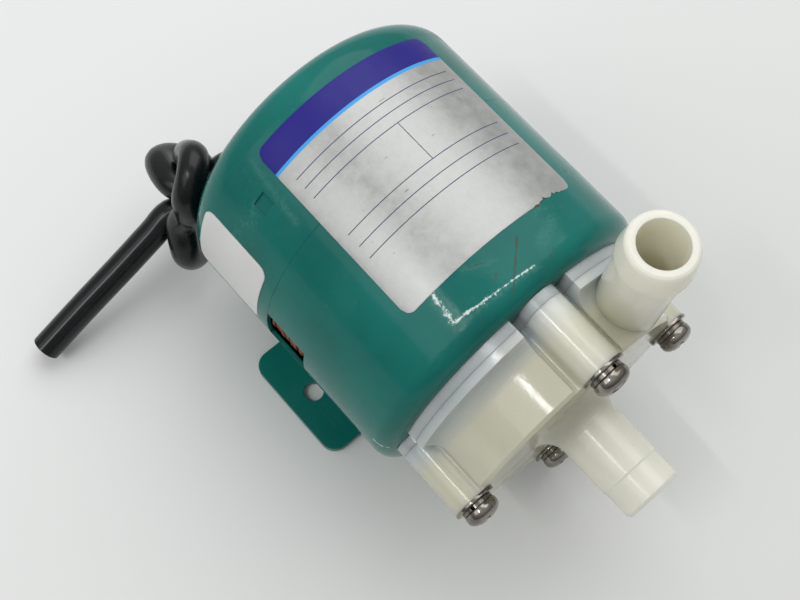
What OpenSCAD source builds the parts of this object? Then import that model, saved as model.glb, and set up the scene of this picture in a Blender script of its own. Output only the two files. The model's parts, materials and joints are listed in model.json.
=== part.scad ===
// Magnetic drive pump for 14 mm hose, foot mounted, with a round motor behind it.
// The pump axis runs along Y: suction faces -Y, the motor's rear faces +Y, and Z is up.
// The origin lies on the underside of the base, midway between its two holes.
// All sizes are in millimetres.

/* [Motor shell] */
// Outside diameter of the motor shell
shell_d = 75; // [74:0.5:80]
// Whole length of the motor shell
shell_len = 70; // [63:0.5:80]
// Length of the front shell, up to the seam
front_shell_len = 40; // [36:0.5:44]
// Sheet thickness of both shells
shell_t = 1; // [0.8:0.1:1.2]
// Rounding of the front edge
front_round = 4.5; // [3.5:0.25:5]
// Rounding of the rear edge
rear_round = 8; // [6:0.5:9]
// Width of each vent window, around the shell
vent_w = 11.8; // [8:0.2:14]
// Length of each vent window, along the shell
vent_len = 12.4; // [9:0.2:14]
// Side length of the square marks pressed into the rear shell
mark_w = 3.6; // [3:0.1:5]

/* [Base] */
// Width of the base across both feet
base_w = 80; // [78:0.5:96]
// Length of the base along the pump
base_len = 31.4; // [28:0.2:40]
// Sheet thickness of the base
base_t = 2; // [1.6:0.1:3]
// Distance between the centres of the two base holes
base_hole_pitch = 66; // [60:0.5:68]
// Diameter of the base holes
base_hole_d = 5; // [4.2:0.1:6]
// Corner radius of the base
base_corner = 4; // [2:0.5:6]
// Distance of the base holes behind the front of the shell
base_setback = 30.7; // [28:0.1:34]

/* [Pump head] */
// Outside diameter of the flange ring
ring_d = 66; // [64:0.5:66.5]
// Outside diameter of the pump body
body_d = 58; // [57.5:0.5:60]
// Distance from the shell to the faces of the screw ears
head_len = 18.8; // [18:0.2:22]
// Thickness of the bracket ring
bracket_t = 2.4; // [2:0.1:3]
// Thickness of the casing flange at its rim
flange_t = 2.1; // [1.8:0.1:2.6]
// Diameter of the screw ears
ear_d = 9.5; // [9:0.1:10.5]
// Diameter of the circle that the screws lie on
screw_circle_d = 59.4; // [59:0.1:61]
// Radius of the fillet between an ear and the body
ear_fillet = 1.2; // [0.8:0.1:1.4]
// Depth of the recess beside the ears, below the body's skin
notch_depth = 0.8; // [0.6:0.1:1]
// Half width of the recess that each ear stands in
notch_half_w = 6.8; // [6.7:0.1:7.4]
// Radius of the blend between the body and the suction spigot
suction_blend = 5; // [3:0.5:6]

/* [Spigots] */
// Bore of both spigots
spigot_bore = 10.4; // [9.6:0.1:10.6]
// Outside diameter of the suction spigot
suction_d = 14.8; // [14.4:0.1:15.4]
// Reach of the suction spigot ahead of the shell
suction_reach = 43.4; // [40:0.2:50]
// Outside diameter of the discharge spigot below its barb
discharge_d = 14.2; // [13.8:0.1:15]
// Largest diameter of the discharge barb
barb_d = 15.7; // [15.3:0.1:16.5]
// Diameter of the discharge spigot at its tip
tip_d = 14.5; // [14:0.1:15]
// Length of the barb from the tip to its shoulder
barb_len = 7; // [5:0.2:9]
// Length of the straight land at the barb's widest place
barb_land = 1.2; // [1:0.1:2]
// Sideways distance of the discharge spigot from the pump axis
discharge_x = 16.2; // [15.6:0.1:16.8]
// Distance of the discharge spigot ahead of the shell
discharge_ahead = 11.5; // [11.2:0.1:11.9]
// Height of the discharge tip above the pump axis
discharge_rise = 53.4; // [48:0.2:62]

/* [Wet end] */
// Outside diameter of the containment cup
cup_d = 31; // [30.4:0.1:31.6]
// Wall thickness of the containment cup
cup_wall = 1.5; // [1.3:0.1:1.7]
// Depth of the containment cup behind the shell's front
cup_depth = 17.4; // [17:0.1:17.8]
// Outside diameter of the impeller
impeller_d = 35; // [32:0.5:36]
// Number of impeller vanes
vane_count = 6; // [5:1:8]
// Diameter of the ceramic spindle
spindle_d = 5; // [4.6:0.1:5.2]

/* [Drive] */
// Radial thickness of the drive magnet
magnet_t = 4.9; // [4.4:0.1:5]
// Wall thickness of the steel yoke around the drive magnet
yoke_t = 2; // [1.6:0.1:2.2]
// Diameter of the motor shaft
shaft_d = 6; // [5.6:0.1:6.4]
// Free length between the cores and the rear bearing
core_end_gap = 3.4; // [2.6:0.2:6]
// Diameter of the rotor
rotor_d = 32; // [30:0.5:33]
// Number of stator slots
slot_count = 12; // [8:2:14]

/* [Fasteners] */
// Diameter of the casing screws
screw_d = 4; // [3.8:0.1:4.2]
// Diameter of the screw heads
screw_head_d = 8; // [7.6:0.1:8.4]
// Height of the screw heads
screw_head_h = 3.1; // [2.6:0.1:3.4]
// Diameter of the flat washers
washer_d = 10; // [9.5:0.1:10.5]
// Thickness of the flat washers
washer_t = 0.8; // [0.6:0.1:1]
// Thickness of the spring washers
spring_t = 1; // [0.9:0.1:1.2]

/* [Cord] */
// Diameter of the power cord
cord_d = 7.2; // [6.8:0.1:7.4]
// Sideways place of the cord exit on the rear face
cord_exit_x = -14.5; // [-16:0.5:-13.5]
// Height of the cord exit on the rear face
cord_exit_z = 33; // [32.5:0.5:35]

/* [Hidden] */

// Curves above this many sides are true rounds
$fn = 96;
// Overshoot of every cut
cut = 0.5;

// Fits: gaps are on the radius
press_gap = 0.02;
slip_gap = 0.1;
run_gap = 0.05;
screw_gap = 0.25;
end_play = 0.2;

// Places along the pump axis are counted from the shell's front, to the rear
shell_r = shell_d / 2;
shell_in_r = shell_r - shell_t;
axis_h = shell_r + base_t;
front_y = -base_setback;
lip_t = 1;
lip_len = 4;
lip_out_r = shell_in_r - slip_gap;
lip_in_r = lip_out_r - lip_t;
lip_gap_w = 2 * vent_w;
mark_depth = 0.4;
mark_setback = 10.4;
mark_s = front_shell_len + mark_setback;
mark_angles = [45, 225];
bead_in = 5;
bead_out = 9;
bead_margin = 2;
bead_gap = 0.06;

// Bracket and pump body
ring_r = ring_d / 2;
body_r = body_d / 2;
ear_r = ear_d / 2;
ear_circle_r = screw_circle_d / 2;
recess_r = body_r - notch_depth;
notch_angle = asin(notch_half_w / body_r);
pilot_overlap = 0.9;
pilot_r = ear_circle_r - ear_r + pilot_overlap;
pilot_len = 4;
pilot_t = 1.6;
flange_s = -bracket_t - flange_t;
flange_blend = ring_r - body_r;
front_edge = 0.8;
fillet_step = 0.12;
arc_steps = 8;
tip_edge = 0.8;
suction_step = 0.3;
barb_step = 0.8;
boss_d_hole = screw_d + 2 * screw_gap;

// Rear casing and the chamber in front of it
seat_t = 2;
seat_r = 27.2;
seat_s = -bracket_t - seat_t;
o_ring_r = 24.2;
o_ring_section = 1.8;
groove_w = 2.4;
wall_t = 3;
chamber_s = -head_len + wall_t;
tongue_gap = 1;
volute_r = impeller_d / 2 + tongue_gap;
volute_growth = 4.2;
volute_sides = 48;
tongue_angle = 20;
cup_r = cup_d / 2;
cup_in_r = cup_r - cup_wall;
cup_end_t = 2;

// Spindle and its two supports
spindle_r = spindle_d / 2;
inlet_r = 7;
inlet_len = 6.2;
support_r = 3.9;
support_len = 4;
support_set = 1.2;
support_s = chamber_s - inlet_len + support_set;
support_rib = 1.3;
rib_root = 0.4;
cup_boss_r = 5;
cup_boss_len = 2.6;
cup_boss_s = cup_depth - cup_end_t - cup_boss_len;
thrust_t = 0.8;
thrust_r = 4.4;
spindle_floor = 0.8;
spindle_s = support_s + spindle_floor;
spindle_end = cup_depth - cup_end_t;

// Impeller
impeller_r = impeller_d / 2;
shroud_t = 1.4;
back_gap = 0.8;
back_s = seat_s - back_gap;
vane_h = 5;
vane_t = 1.4;
vane_inset = 0.4;
eye_r = 6.6;
neck_r = 8;
neck_len = 0.9;
capsule_gap = 0.8;
capsule_r = cup_in_r - capsule_gap;
capsule_end = cup_boss_s - thrust_t - 2 * end_play;
bush_r = 4;
bush_s = support_s + support_len + thrust_t + 2 * end_play;
hub_r = 5.6;
capsule_wall = 1.4;
inner_magnet_r = capsule_r - capsule_wall;
inner_magnet_hole_r = 6.4;
capsule_floor = 1.6;
inner_magnet_s = back_s + capsule_floor;
magnet_cap_t = 1.2;

// Drive magnet, yoke and shaft
drive_gap = 1;
magnet_in_r = cup_r + drive_gap;
magnet_out_r = magnet_in_r + magnet_t;
magnet_s = 0.6;
magnet_setback = 2;
magnet_len = cup_depth - magnet_setback;
yoke_out_r = magnet_out_r + press_gap + yoke_t;
yoke_disc_s = cup_depth + drive_gap;
yoke_disc_t = 3;
yoke_hub_r = 7;
yoke_hub_len = 4.6;
shaft_r = shaft_d / 2;
shaft_set = 0.4;
shaft_s = yoke_disc_s + shaft_set;
set_screw_d = 3;
set_screw_s = yoke_disc_s + yoke_disc_t + yoke_hub_len / 2;
hex_depth = 1.4;

// Bearing plate and bearings
plate_t = 2.5;
plate_gap = 2.2;
plate_s = yoke_disc_s + yoke_disc_t + plate_gap;
plate_hub_r = 10;
hub_gap = 1.3;
plate_hub_hole_r = yoke_hub_r + hub_gap;
bearing_r = 6;
bearing_len = 5;
bearing_gap = 3;
bearing_s = yoke_disc_s + yoke_disc_t + yoke_hub_len + bearing_gap;
bearing_ledge = 0.5;
plate_vent_r = 5;
plate_vent_circle = 22;
plate_vent_count = 6;
rear_pocket_t = 1.2;
rear_bearing_gap = 0.6;
rear_bearing_s = shell_len - shell_t - bearing_len - rear_bearing_gap;
shaft_end = shell_len - shell_t - 2 * rear_bearing_gap;

// Stator and rotor
core_s = front_shell_len;
core_len = rear_bearing_s - core_s - core_end_gap;
core_r = lip_in_r - slip_gap;
rotor_r = rotor_d / 2;
air_gap = 0.4;
core_bore_r = rotor_r + air_gap;
tooth_tip_t = 2;
core_back_t = 6;
slot_in_r = core_bore_r + tooth_tip_t;
slot_out_r = core_r - core_back_t;
slot_share = 0.6;
slot_half_angle = slot_share * 180 / slot_count;
slot_mouth = 1.6;
coil_gap = 0.25;
coil_slack = 1;
coil_in_gap = 2.6;
coil_out_gap = 1.4;
coil_in_r = core_bore_r + coil_in_gap;
coil_out_r = core_r - coil_out_gap;
protector_w = 12;
protector_h = 7;
protector_t = 2.6;
protector_gap = 0.9;
protector_inset = 3;
coil_front = core_s - plate_s - plate_t - protector_gap - protector_t;
coil_end_gap = 3;
coil_rear = shell_len - shell_t - coil_end_gap - core_s - core_len;
cage_t = 2;
cage_inset = 0.6;
cage_r = rotor_r - cage_inset;
cage_hole_r = 9;
protector_r = coil_in_r + protector_inset;

// Screws stand in four ears, a quarter turn apart
ear_count = 4;
washer_s = -head_len - washer_t;
spring_s = washer_s - spring_t;
spring_d = 7.6;
spring_slit = 0.7;
nut_h = 3.2;
screw_stickout = 1;
screw_tail = shell_t + nut_h + screw_stickout;
recess_w = 0.9;
recess_l = 4.4;
recess_depth = 1.7;
nut_flats = 7;

// Cord and grommet
cord_r = cord_d / 2;
grommet_wall = 1.6;
grommet_r = cord_r + grommet_wall;
grommet_flange_r = grommet_r + grommet_wall;
grommet_flange_t = grommet_wall;
grommet_lip = 1;
grommet_nose = 3;
cord_start_s = shell_len + grommet_flange_t + grommet_nose;
cord_sides = 12;
cord_steps = 2;
conductor_count = 3;
conductor_d = 1.4;
conductor_circle_r = 1.5;
conductor_len = 0.4;

// Route of the cord behind the exit, counted from the exit: sideways, to the rear, up.
// It leaves the rear face, is tied in one overhand knot and lies down to its cut end.
cord_route = [
    [0, 0, 0],
    [-0.5, 2.5, 0],
    [-2.5, 4.5, 0],
    [-5.5, 5, 0],
    [-9, 5.5, -2],
    [-13.5, 6.5, -2],
    [-16, 11, -2],
    [-14, 19, -5.5],
    [-9, 20, -11],
    [-7.5, 15.5, -14.5],
    [-12, 9.5, -17.5],
    [-14, 6, -19.5],
    [-17.5, 1.5, -20.5],
    [-20.5, -0.5, -18.5],
    [-22.5, -1.5, -13.5],
    [-22.5, -1, -9],
    [-20.5, 1.5, -3.5],
    [-18.5, 0, 1],
    [-18.5, -0.5, 4.5],
    [-18, 0, 9],
    [-14.5, 2, 13],
    [-11.5, 5.5, 12.5],
    [-10.5, 9.5, 7],
    [-8.5, 13.5, -1.5],
    [-7, 12, -7],
    [-8.5, 8, -9.5],
    [-14, 5.5, -9.5],
    [-20, 7.5, -8.5],
    [-26, 7.5, -11.5],
    [-36, 7.5, -16.5],
    [-49, 7.5, -22.5],
    [-62, 7.5, -29]
];

// Puts children on the pump axis, with Z as the distance behind the shell's front
module on_axis() {
    translate([0, front_y, axis_h])
        rotate([-90, 0, 0])
            children();
}

// Repeats children at every screw ear
module at_ears() {
    for (i = [0 : ear_count - 1])
        rotate([0, 0, i * 360 / ear_count])
            translate([ear_circle_r, 0, 0])
                children();
}

// Round bar from one place on the axis to another
module bar(s0, s1, r) {
    translate([0, 0, s0])
        cylinder(h = s1 - s0, r = r);
}

// Ring from one place on the axis to another
module tube(s0, s1, r_out, r_in) {
    difference() {
        bar(s0, s1, r_out);
        bar(s0 - cut, s1 + cut, r_in);
    }
}

// Half profile of a cup whose edge at s0 is rounded
module cup_profile(r, s0, s1, rounding) {
    translate([0, s0 + rounding])
        square([r, s1 - s0 - rounding]);
    translate([0, s0])
        square([r - rounding, rounding + cut]);
    translate([r - rounding, s0 + rounding])
        circle(r = rounding);
}

// Wedges beside the ears that are cut back to the recessed wall, from s0 to s1
module ear_notches(s0, s1) {
    far = 2 * ring_r;
    for (i = [0 : ear_count - 1])
        rotate([0, 0, i * 360 / ear_count])
            translate([0, 0, s0])
                linear_extrude(height = s1 - s0)
                    difference() {
                        polygon([
                            [0, 0], [far, -far * tan(notch_angle)], [far, far * tan(notch_angle)]
                        ]);
                        circle(r = recess_r);
                    }
}

// Outline of the four ears with their fillets, down to the middle of the body
module ear_outline() {
    reach = recess_r + ear_fillet + fillet_step;
    arm = ear_r + ear_fillet + fillet_step;
    turn = acos((reach * reach + ear_circle_r * ear_circle_r - arm * arm) / (2 * reach * ear_circle_r));
    for (i = [0 : ear_count - 1])
        rotate(i * 360 / ear_count) {
            translate([ear_circle_r, 0])
                circle(r = ear_r);
            for (side = [-1, 1])
                difference() {
                    polygon([
                        [0, 0], [ear_circle_r, 0],
                        [reach * cos(turn), side * reach * sin(turn)]
                    ]);
                    translate([reach * cos(turn), side * reach * sin(turn)])
                        circle(r = ear_fillet);
                }
        }
}

// Points of an arc around a centre, from one angle to another
function arc(centre, r, from, to) = [
    for (i = [0 : arc_steps])
        centre + r * [cos(from + (to - from) * i / arc_steps), sin(from + (to - from) * i / arc_steps)]
];

// Spiral outline of the chamber: its radius grows evenly from the tongue to the outlet
function volute_points() = [
    for (i = [0 : volute_sides - 1])
        let (turn = 360 * i / volute_sides, r = volute_r + volute_growth * i / volute_sides)
        r * [cos(tongue_angle + turn), -sin(tongue_angle + turn)]
];

module volute(s0, s1) {
    translate([0, 0, s0])
        linear_extrude(height = s1 - s0)
            polygon(volute_points());
}

// Half profile of everything on the casing that is round about the pump axis
module casing_profile() {
    r = suction_d / 2;
    shoulder = -suction_reach + barb_len;
    polygon(concat(
        [
            [0, -suction_reach], [r - suction_step - tip_edge, -suction_reach],
            [r - suction_step, -suction_reach + tip_edge], [r - suction_step, shoulder],
            [r, shoulder + suction_step]
        ],
        arc([r + suction_blend, -head_len - suction_blend], suction_blend, 180, 90),
        [[body_r - front_edge, -head_len], [body_r, -head_len + front_edge]],
        arc([ring_r, flange_s - flange_blend], flange_blend, 180, 90),
        [[ring_r, -bracket_t], [0, -bracket_t]]
    ));
}

// Half profile of the discharge spigot: plain tube, barb and softened tip
module discharge_profile() {
    top = discharge_rise;
    polygon([
        [0, 0], [discharge_d / 2, 0], [discharge_d / 2, top - barb_len - barb_step],
        [barb_d / 2, top - barb_len], [barb_d / 2, top - barb_len + barb_land],
        [tip_d / 2, top - tip_edge],
        [tip_d / 2 - tip_edge / 3, top - tip_edge / 3], [tip_d / 2 - tip_edge, top], [0, top]
    ]);
}

// Solid outside of the front casing
module casing_outside() {
    on_axis() {
        difference() {
            rotate_extrude()
                casing_profile();
            ear_notches(-head_len - cut, -bracket_t + cut);
        }
        translate([0, 0, -head_len])
            linear_extrude(height = head_len - bracket_t)
                ear_outline();
    }
    translate([discharge_x, front_y - discharge_ahead, axis_h])
        rotate_extrude()
            discharge_profile();
}

// Three ribs and a hub in the inlet, which hold the spindle's front end
module spindle_support() {
    difference() {
        union() {
            bar(support_s, support_s + support_len, support_r);
            for (i = [0 : 2])
                rotate([0, 0, i * 120])
                    translate([0, -support_rib / 2, support_s])
                        cube([inlet_r + rib_root, support_rib, support_len]);
        }
        bar(spindle_s, support_s + support_len + cut, spindle_r + press_gap);
    }
}

module front_casing() {
    color("ivory") {
        difference() {
            casing_outside();
            on_axis() {
                volute(chamber_s, seat_s + cut);
                bar(seat_s, -bracket_t + cut, seat_r + slip_gap);
                tube(seat_s - o_ring_section, seat_s + cut, o_ring_r + groove_w / 2, o_ring_r - groove_w / 2);
                bar(-suction_reach - cut, chamber_s, spigot_bore / 2);
                bar(chamber_s - inlet_len, chamber_s + cut, inlet_r);
                translate([0, 0, -head_len - cut])
                    at_ears()
                        cylinder(h = head_len, d = boss_d_hole);
            }
            translate([discharge_x, front_y - discharge_ahead, axis_h])
                cylinder(h = discharge_rise + cut, d = spigot_bore);
        }
        on_axis()
            spindle_support();
    }
}

module rear_casing() {
    color("ivory")
        on_axis() {
            tube(seat_s, -bracket_t, seat_r, cup_in_r);
            tube(-bracket_t - cut, cup_depth, cup_r, cup_in_r);
            bar(cup_depth - cup_end_t, cup_depth, cup_in_r + cut);
            tube(cup_boss_s, cup_depth - cup_end_t + cut, cup_boss_r, spindle_r + press_gap);
        }
}

module casing_o_ring() {
    color("black")
        on_axis()
            rotate_extrude()
                translate([o_ring_r, seat_s - o_ring_section / 2])
                    circle(d = o_ring_section);
}

module spindle() {
    color("white")
        on_axis()
            bar(spindle_s, spindle_end, spindle_r);
}

module front_thrust_washer() {
    color("white")
        on_axis()
            tube(support_s + support_len, support_s + support_len + thrust_t, thrust_r, spindle_r + press_gap);
}

module rear_thrust_washer() {
    color("white")
        on_axis()
            tube(cup_boss_s - thrust_t, cup_boss_s, thrust_r, spindle_r + press_gap);
}

// One backward curved vane between the hub and the rim, sunk half into both shrouds
module vane() {
    bend_r = 0.75 * impeller_r;
    low = back_s - shroud_t - vane_h - shroud_t / 2;
    high = back_s - shroud_t / 2;
    difference() {
        intersection() {
            translate([0.5 * impeller_r, -0.62 * impeller_r, 0])
                tube(low, high, bend_r, bend_r - vane_t);
            bar(low - cut, high + cut, impeller_r - vane_inset);
            translate([0, 0, low - cut])
                cube([impeller_r, impeller_r, high - low + 2 * cut]);
        }
        bar(low - 2 * cut, high + 2 * cut, eye_r + vane_inset);
    }
}

module impeller() {
    vane_s = back_s - shroud_t;
    eye_s = vane_s - vane_h;
    color("gainsboro")
        on_axis() {
            tube(vane_s, back_s, impeller_r, bush_r + press_gap);
            tube(eye_s - shroud_t, eye_s, impeller_r, eye_r);
            tube(eye_s - shroud_t - neck_len, eye_s, neck_r, eye_r);
            tube(bush_s, vane_s + cut, hub_r, bush_r + press_gap);
            for (i = [0 : vane_count - 1])
                rotate([0, 0, i * 360 / vane_count])
                    vane();
            difference() {
                tube(back_s - cut, capsule_end, capsule_r, bush_r + press_gap);
                tube(inner_magnet_s, capsule_end + cut, inner_magnet_r, inner_magnet_hole_r);
            }
        }
}

module impeller_bush() {
    color("dimgray")
        on_axis()
            tube(bush_s, capsule_end, bush_r, spindle_r + run_gap);
}

module impeller_magnet() {
    color("darkslategray")
        on_axis()
            tube(
                inner_magnet_s, capsule_end - magnet_cap_t,
                inner_magnet_r - press_gap, inner_magnet_hole_r + press_gap
            );
}

module impeller_magnet_cap() {
    color("gainsboro")
        on_axis()
            tube(
                capsule_end - magnet_cap_t, capsule_end,
                inner_magnet_r - press_gap, inner_magnet_hole_r + press_gap
            );
}

module bracket() {
    color("lightgray")
        on_axis()
            difference() {
                union() {
                    difference() {
                        bar(-bracket_t, 0, ring_r);
                        ear_notches(-bracket_t - cut, cut);
                    }
                    translate([0, 0, -bracket_t])
                        linear_extrude(height = bracket_t)
                            ear_outline();
                    bar(-cut, pilot_len, pilot_r - slip_gap);
                }
                bar(-bracket_t - cut, pilot_len + cut, pilot_r - slip_gap - pilot_t);
                translate([0, 0, -bracket_t - cut])
                    at_ears()
                        cylinder(h = bracket_t + 2 * cut, d = boss_d_hole);
            }
}

// Pan head with a cross recess, on a plain shank
module pan_screw() {
    dome_r = screw_head_d * 0.62;
    difference() {
        union() {
            bar(spring_s, screw_tail, screw_d / 2);
            intersection() {
                bar(spring_s - screw_head_h, spring_s, screw_head_d / 2);
                translate([0, 0, spring_s - screw_head_h + dome_r])
                    sphere(r = dome_r);
            }
        }
        for (turn = [0, 90])
            rotate([0, 0, turn])
                translate([-recess_l / 2, -recess_w / 2, spring_s - screw_head_h - cut])
                    cube([recess_l, recess_w, recess_depth + cut]);
    }
}

module casing_screws() {
    color("silver")
        on_axis()
            at_ears()
                pan_screw();
}

module spring_washers() {
    color("gray")
        on_axis()
            at_ears()
                difference() {
                    tube(spring_s, washer_s, spring_d / 2, screw_d / 2 + slip_gap);
                    translate([0, -spring_slit / 2, spring_s - cut])
                        cube([spring_d, spring_slit, spring_t + 2 * cut]);
                }
}

module flat_washers() {
    color("silver")
        on_axis()
            at_ears()
                tube(washer_s, -head_len, washer_d / 2, screw_d / 2 + slip_gap);
}

module weld_nuts() {
    nut_r = nut_flats / 2 / cos(30);
    color("gray")
        on_axis()
            at_ears()
                translate([0, 0, shell_t])
                    rotate([0, 0, 30])
                        difference() {
                            cylinder(h = nut_h, r = nut_r, $fn = 6);
                            translate([0, 0, -cut])
                                cylinder(h = nut_h + 2 * cut, r = screw_d / 2 + press_gap);
                        }
}

// Cuts both vent windows, which open at the seam on either side
module vent_windows() {
    for (side = [0, 180])
        rotate([0, 0, side])
            translate([shell_in_r / 2, -vent_w / 2, front_shell_len - vent_len])
                cube([shell_r, vent_w, vent_len]);
}

// The joint lip stops short of each vent window, so that the winding behind it is seen
module lip_gaps() {
    for (side = [0, 180])
        rotate([0, 0, side])
            translate([shell_in_r / 2, -lip_gap_w / 2, front_shell_len - lip_len - cut])
                cube([shell_r, lip_gap_w, 2 * lip_len + 2 * cut]);
}

module front_shell() {
    color("teal")
        on_axis()
            difference() {
                union() {
                    rotate_extrude()
                        difference() {
                            cup_profile(shell_r, 0, front_shell_len, front_round);
                            cup_profile(shell_in_r, shell_t, front_shell_len + cut, front_round - shell_t);
                        }
                    difference() {
                        union() {
                            tube(front_shell_len - lip_len, front_shell_len, shell_in_r + shell_t / 2, lip_in_r);
                            tube(front_shell_len - cut, front_shell_len + lip_len, lip_out_r, lip_in_r);
                        }
                        lip_gaps();
                    }
                }
                bar(-cut, shell_t + cut, pilot_r);
                translate([0, 0, -cut])
                    at_ears()
                        cylinder(h = shell_t + 2 * cut, d = boss_d_hole);
                vent_windows();
            }
}

module rear_shell() {
    color("teal")
        difference() {
            on_axis()
                difference() {
                    union() {
                        translate([0, 0, shell_len])
                            mirror([0, 0, 1])
                                rotate_extrude()
                                    difference() {
                                        cup_profile(shell_r, 0, shell_len - front_shell_len, rear_round);
                                        cup_profile(
                                            shell_in_r, shell_t, shell_len - front_shell_len + cut,
                                            rear_round - shell_t
                                        );
                                    }
                        tube(rear_bearing_s, shell_len - cut, bearing_r + rear_pocket_t, bearing_r + press_gap);
                    }
                    for (turn = mark_angles)
                        rotate([0, 0, turn])
                            translate([shell_r - mark_depth, -mark_w / 2, mark_s])
                                cube([shell_t, mark_w, mark_w]);
                }
            translate([cord_exit_x, front_y + shell_len - 2 * shell_t, cord_exit_z])
                rotate([-90, 0, 0])
                    cylinder(h = 3 * shell_t, r = grommet_r);
        }
}

module base_plate() {
    inset_x = base_w / 2 - base_corner;
    inset_y = base_len / 2 - base_corner;
    color("teal")
        linear_extrude(height = base_t)
            difference() {
                union() {
                    square([base_w, 2 * inset_y], center = true);
                    square([2 * inset_x, base_len], center = true);
                    for (x = [-inset_x, inset_x], y = [-inset_y, inset_y])
                        translate([x, y])
                            circle(r = base_corner);
                }
                for (side = [-1, 1])
                    translate([side * base_hole_pitch / 2, 0])
                        circle(d = base_hole_d);
            }
}

// Height of the shell's underside at a sideways place
function underside(x) = axis_h - sqrt(shell_r * shell_r - x * x);

// Two weld beads in the wedge between the front shell and the base
module base_welds() {
    bead_len = front_y + front_shell_len + base_len / 2 - 2 * bead_margin;
    color("darkslategray")
        for (side = [0, 1])
            mirror([side, 0, 0])
                translate([0, -base_len / 2 + bead_margin, 0])
                    rotate([90, 0, 0])
                        translate([0, 0, -bead_len])
                            linear_extrude(height = bead_len)
                                polygon([
                                    [bead_in, base_t], [bead_out, base_t],
                                    [bead_out, underside(bead_out) - bead_gap],
                                    [bead_in, underside(bead_in) - bead_gap]
                                ]);
}

module bearing_plate() {
    color("silver")
        on_axis()
            difference() {
                union() {
                    bar(plate_s, plate_s + plate_t, shell_in_r - slip_gap);
                    bar(plate_s, bearing_s + bearing_len, plate_hub_r);
                }
                bar(plate_s - cut, bearing_s - bearing_ledge, plate_hub_hole_r);
                bar(bearing_s - 2 * bearing_ledge, bearing_s + bearing_len + cut, bearing_r + press_gap);
                for (i = [0 : plate_vent_count - 1])
                    rotate([0, 0, i * 360 / plate_vent_count])
                        translate([plate_vent_circle, 0, 0])
                            bar(plate_s - cut, plate_s + plate_t + cut, plate_vent_r);
            }
}

module front_bearing() {
    color("peru")
        on_axis()
            tube(bearing_s, bearing_s + bearing_len, bearing_r, shaft_r + run_gap);
}

module rear_bearing() {
    color("peru")
        on_axis()
            tube(rear_bearing_s, rear_bearing_s + bearing_len, bearing_r, shaft_r + run_gap);
}

module motor_shaft() {
    color("silver")
        on_axis()
            bar(shaft_s, shaft_end, shaft_r);
}

module rotor_core() {
    color("gray")
        on_axis()
            tube(core_s, core_s + core_len, rotor_r, shaft_r + press_gap);
}

module rotor_cage() {
    color("silver")
        on_axis() {
            tube(core_s - cage_t, core_s, cage_r, cage_hole_r);
            tube(core_s + core_len, core_s + core_len + cage_t, cage_r, cage_hole_r);
        }
}

module drive_yoke() {
    color("gray")
        on_axis()
            difference() {
                union() {
                    bar(magnet_s, yoke_disc_s + yoke_disc_t, yoke_out_r);
                    bar(yoke_disc_s, yoke_disc_s + yoke_disc_t + yoke_hub_len, yoke_hub_r);
                }
                bar(magnet_s - cut, yoke_disc_s, magnet_out_r + press_gap);
                bar(yoke_disc_s - cut, yoke_disc_s + yoke_disc_t + yoke_hub_len + cut, shaft_r + press_gap);
                translate([0, 0, set_screw_s])
                    rotate([0, 90, 0])
                        cylinder(h = yoke_hub_r + cut, d = set_screw_d + 2 * press_gap);
            }
}

module drive_magnet() {
    color("darkslategray")
        on_axis()
            tube(magnet_s, magnet_s + magnet_len, magnet_out_r, magnet_in_r);
}

module yoke_set_screw() {
    color("dimgray")
        on_axis()
            translate([shaft_r, 0, set_screw_s])
                rotate([0, 90, 0])
                    difference() {
                        cylinder(h = yoke_hub_r - shaft_r - slip_gap, d = set_screw_d);
                        translate([0, 0, yoke_hub_r - shaft_r - hex_depth])
                            cylinder(h = hex_depth + cut, d = set_screw_d / 2, $fn = 6);
                    }
}

// One stator slot: a ring sector with a narrow mouth towards the rotor
module slot(r_in, r_out, half_angle, s0, s1) {
    far = 2 * r_out;
    translate([0, 0, s0])
        intersection() {
            difference() {
                cylinder(h = s1 - s0, r = r_out);
                translate([0, 0, -cut])
                    cylinder(h = s1 - s0 + 2 * cut, r = r_in);
            }
            linear_extrude(height = s1 - s0)
                polygon([
                    [0, 0], [far * cos(half_angle), -far * sin(half_angle)],
                    [far * cos(half_angle), far * sin(half_angle)]
                ]);
        }
}

module stator_core() {
    color("slategray")
        on_axis()
            difference() {
                tube(core_s, core_s + core_len, core_r, core_bore_r);
                for (i = [0 : slot_count - 1])
                    rotate([0, 0, i * 360 / slot_count]) {
                        slot(slot_in_r, slot_out_r, slot_half_angle, core_s - cut, core_s + core_len + cut);
                        translate([core_bore_r - cut, -slot_mouth / 2, core_s - cut])
                            cube([slot_in_r - core_bore_r + 2 * cut, slot_mouth, core_len + 2 * cut]);
                    }
            }
}

module stator_windings() {
    color("sienna")
        on_axis() {
            tube(core_s - coil_front, core_s, coil_out_r, coil_in_r);
            tube(core_s + core_len, core_s + core_len + coil_rear, coil_out_r, coil_in_r);
            for (i = [0 : slot_count - 1])
                rotate([0, 0, i * 360 / slot_count])
                    slot(
                        slot_in_r + coil_gap, slot_out_r - coil_gap, slot_half_angle - coil_slack,
                        core_s - cut, core_s + core_len + cut
                    );
        }
}

module thermal_protector() {
    color("black")
        on_axis()
            translate([-protector_w / 2, -protector_r - protector_h, core_s - coil_front - protector_t])
                cube([protector_w, protector_h, protector_t]);
}

// Puts children at the cord's exit, with Z pointing straight out of the rear face
module at_cord_exit(s) {
    translate([cord_exit_x, front_y + s, cord_exit_z])
        rotate([-90, 0, 0])
            children();
}

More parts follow.
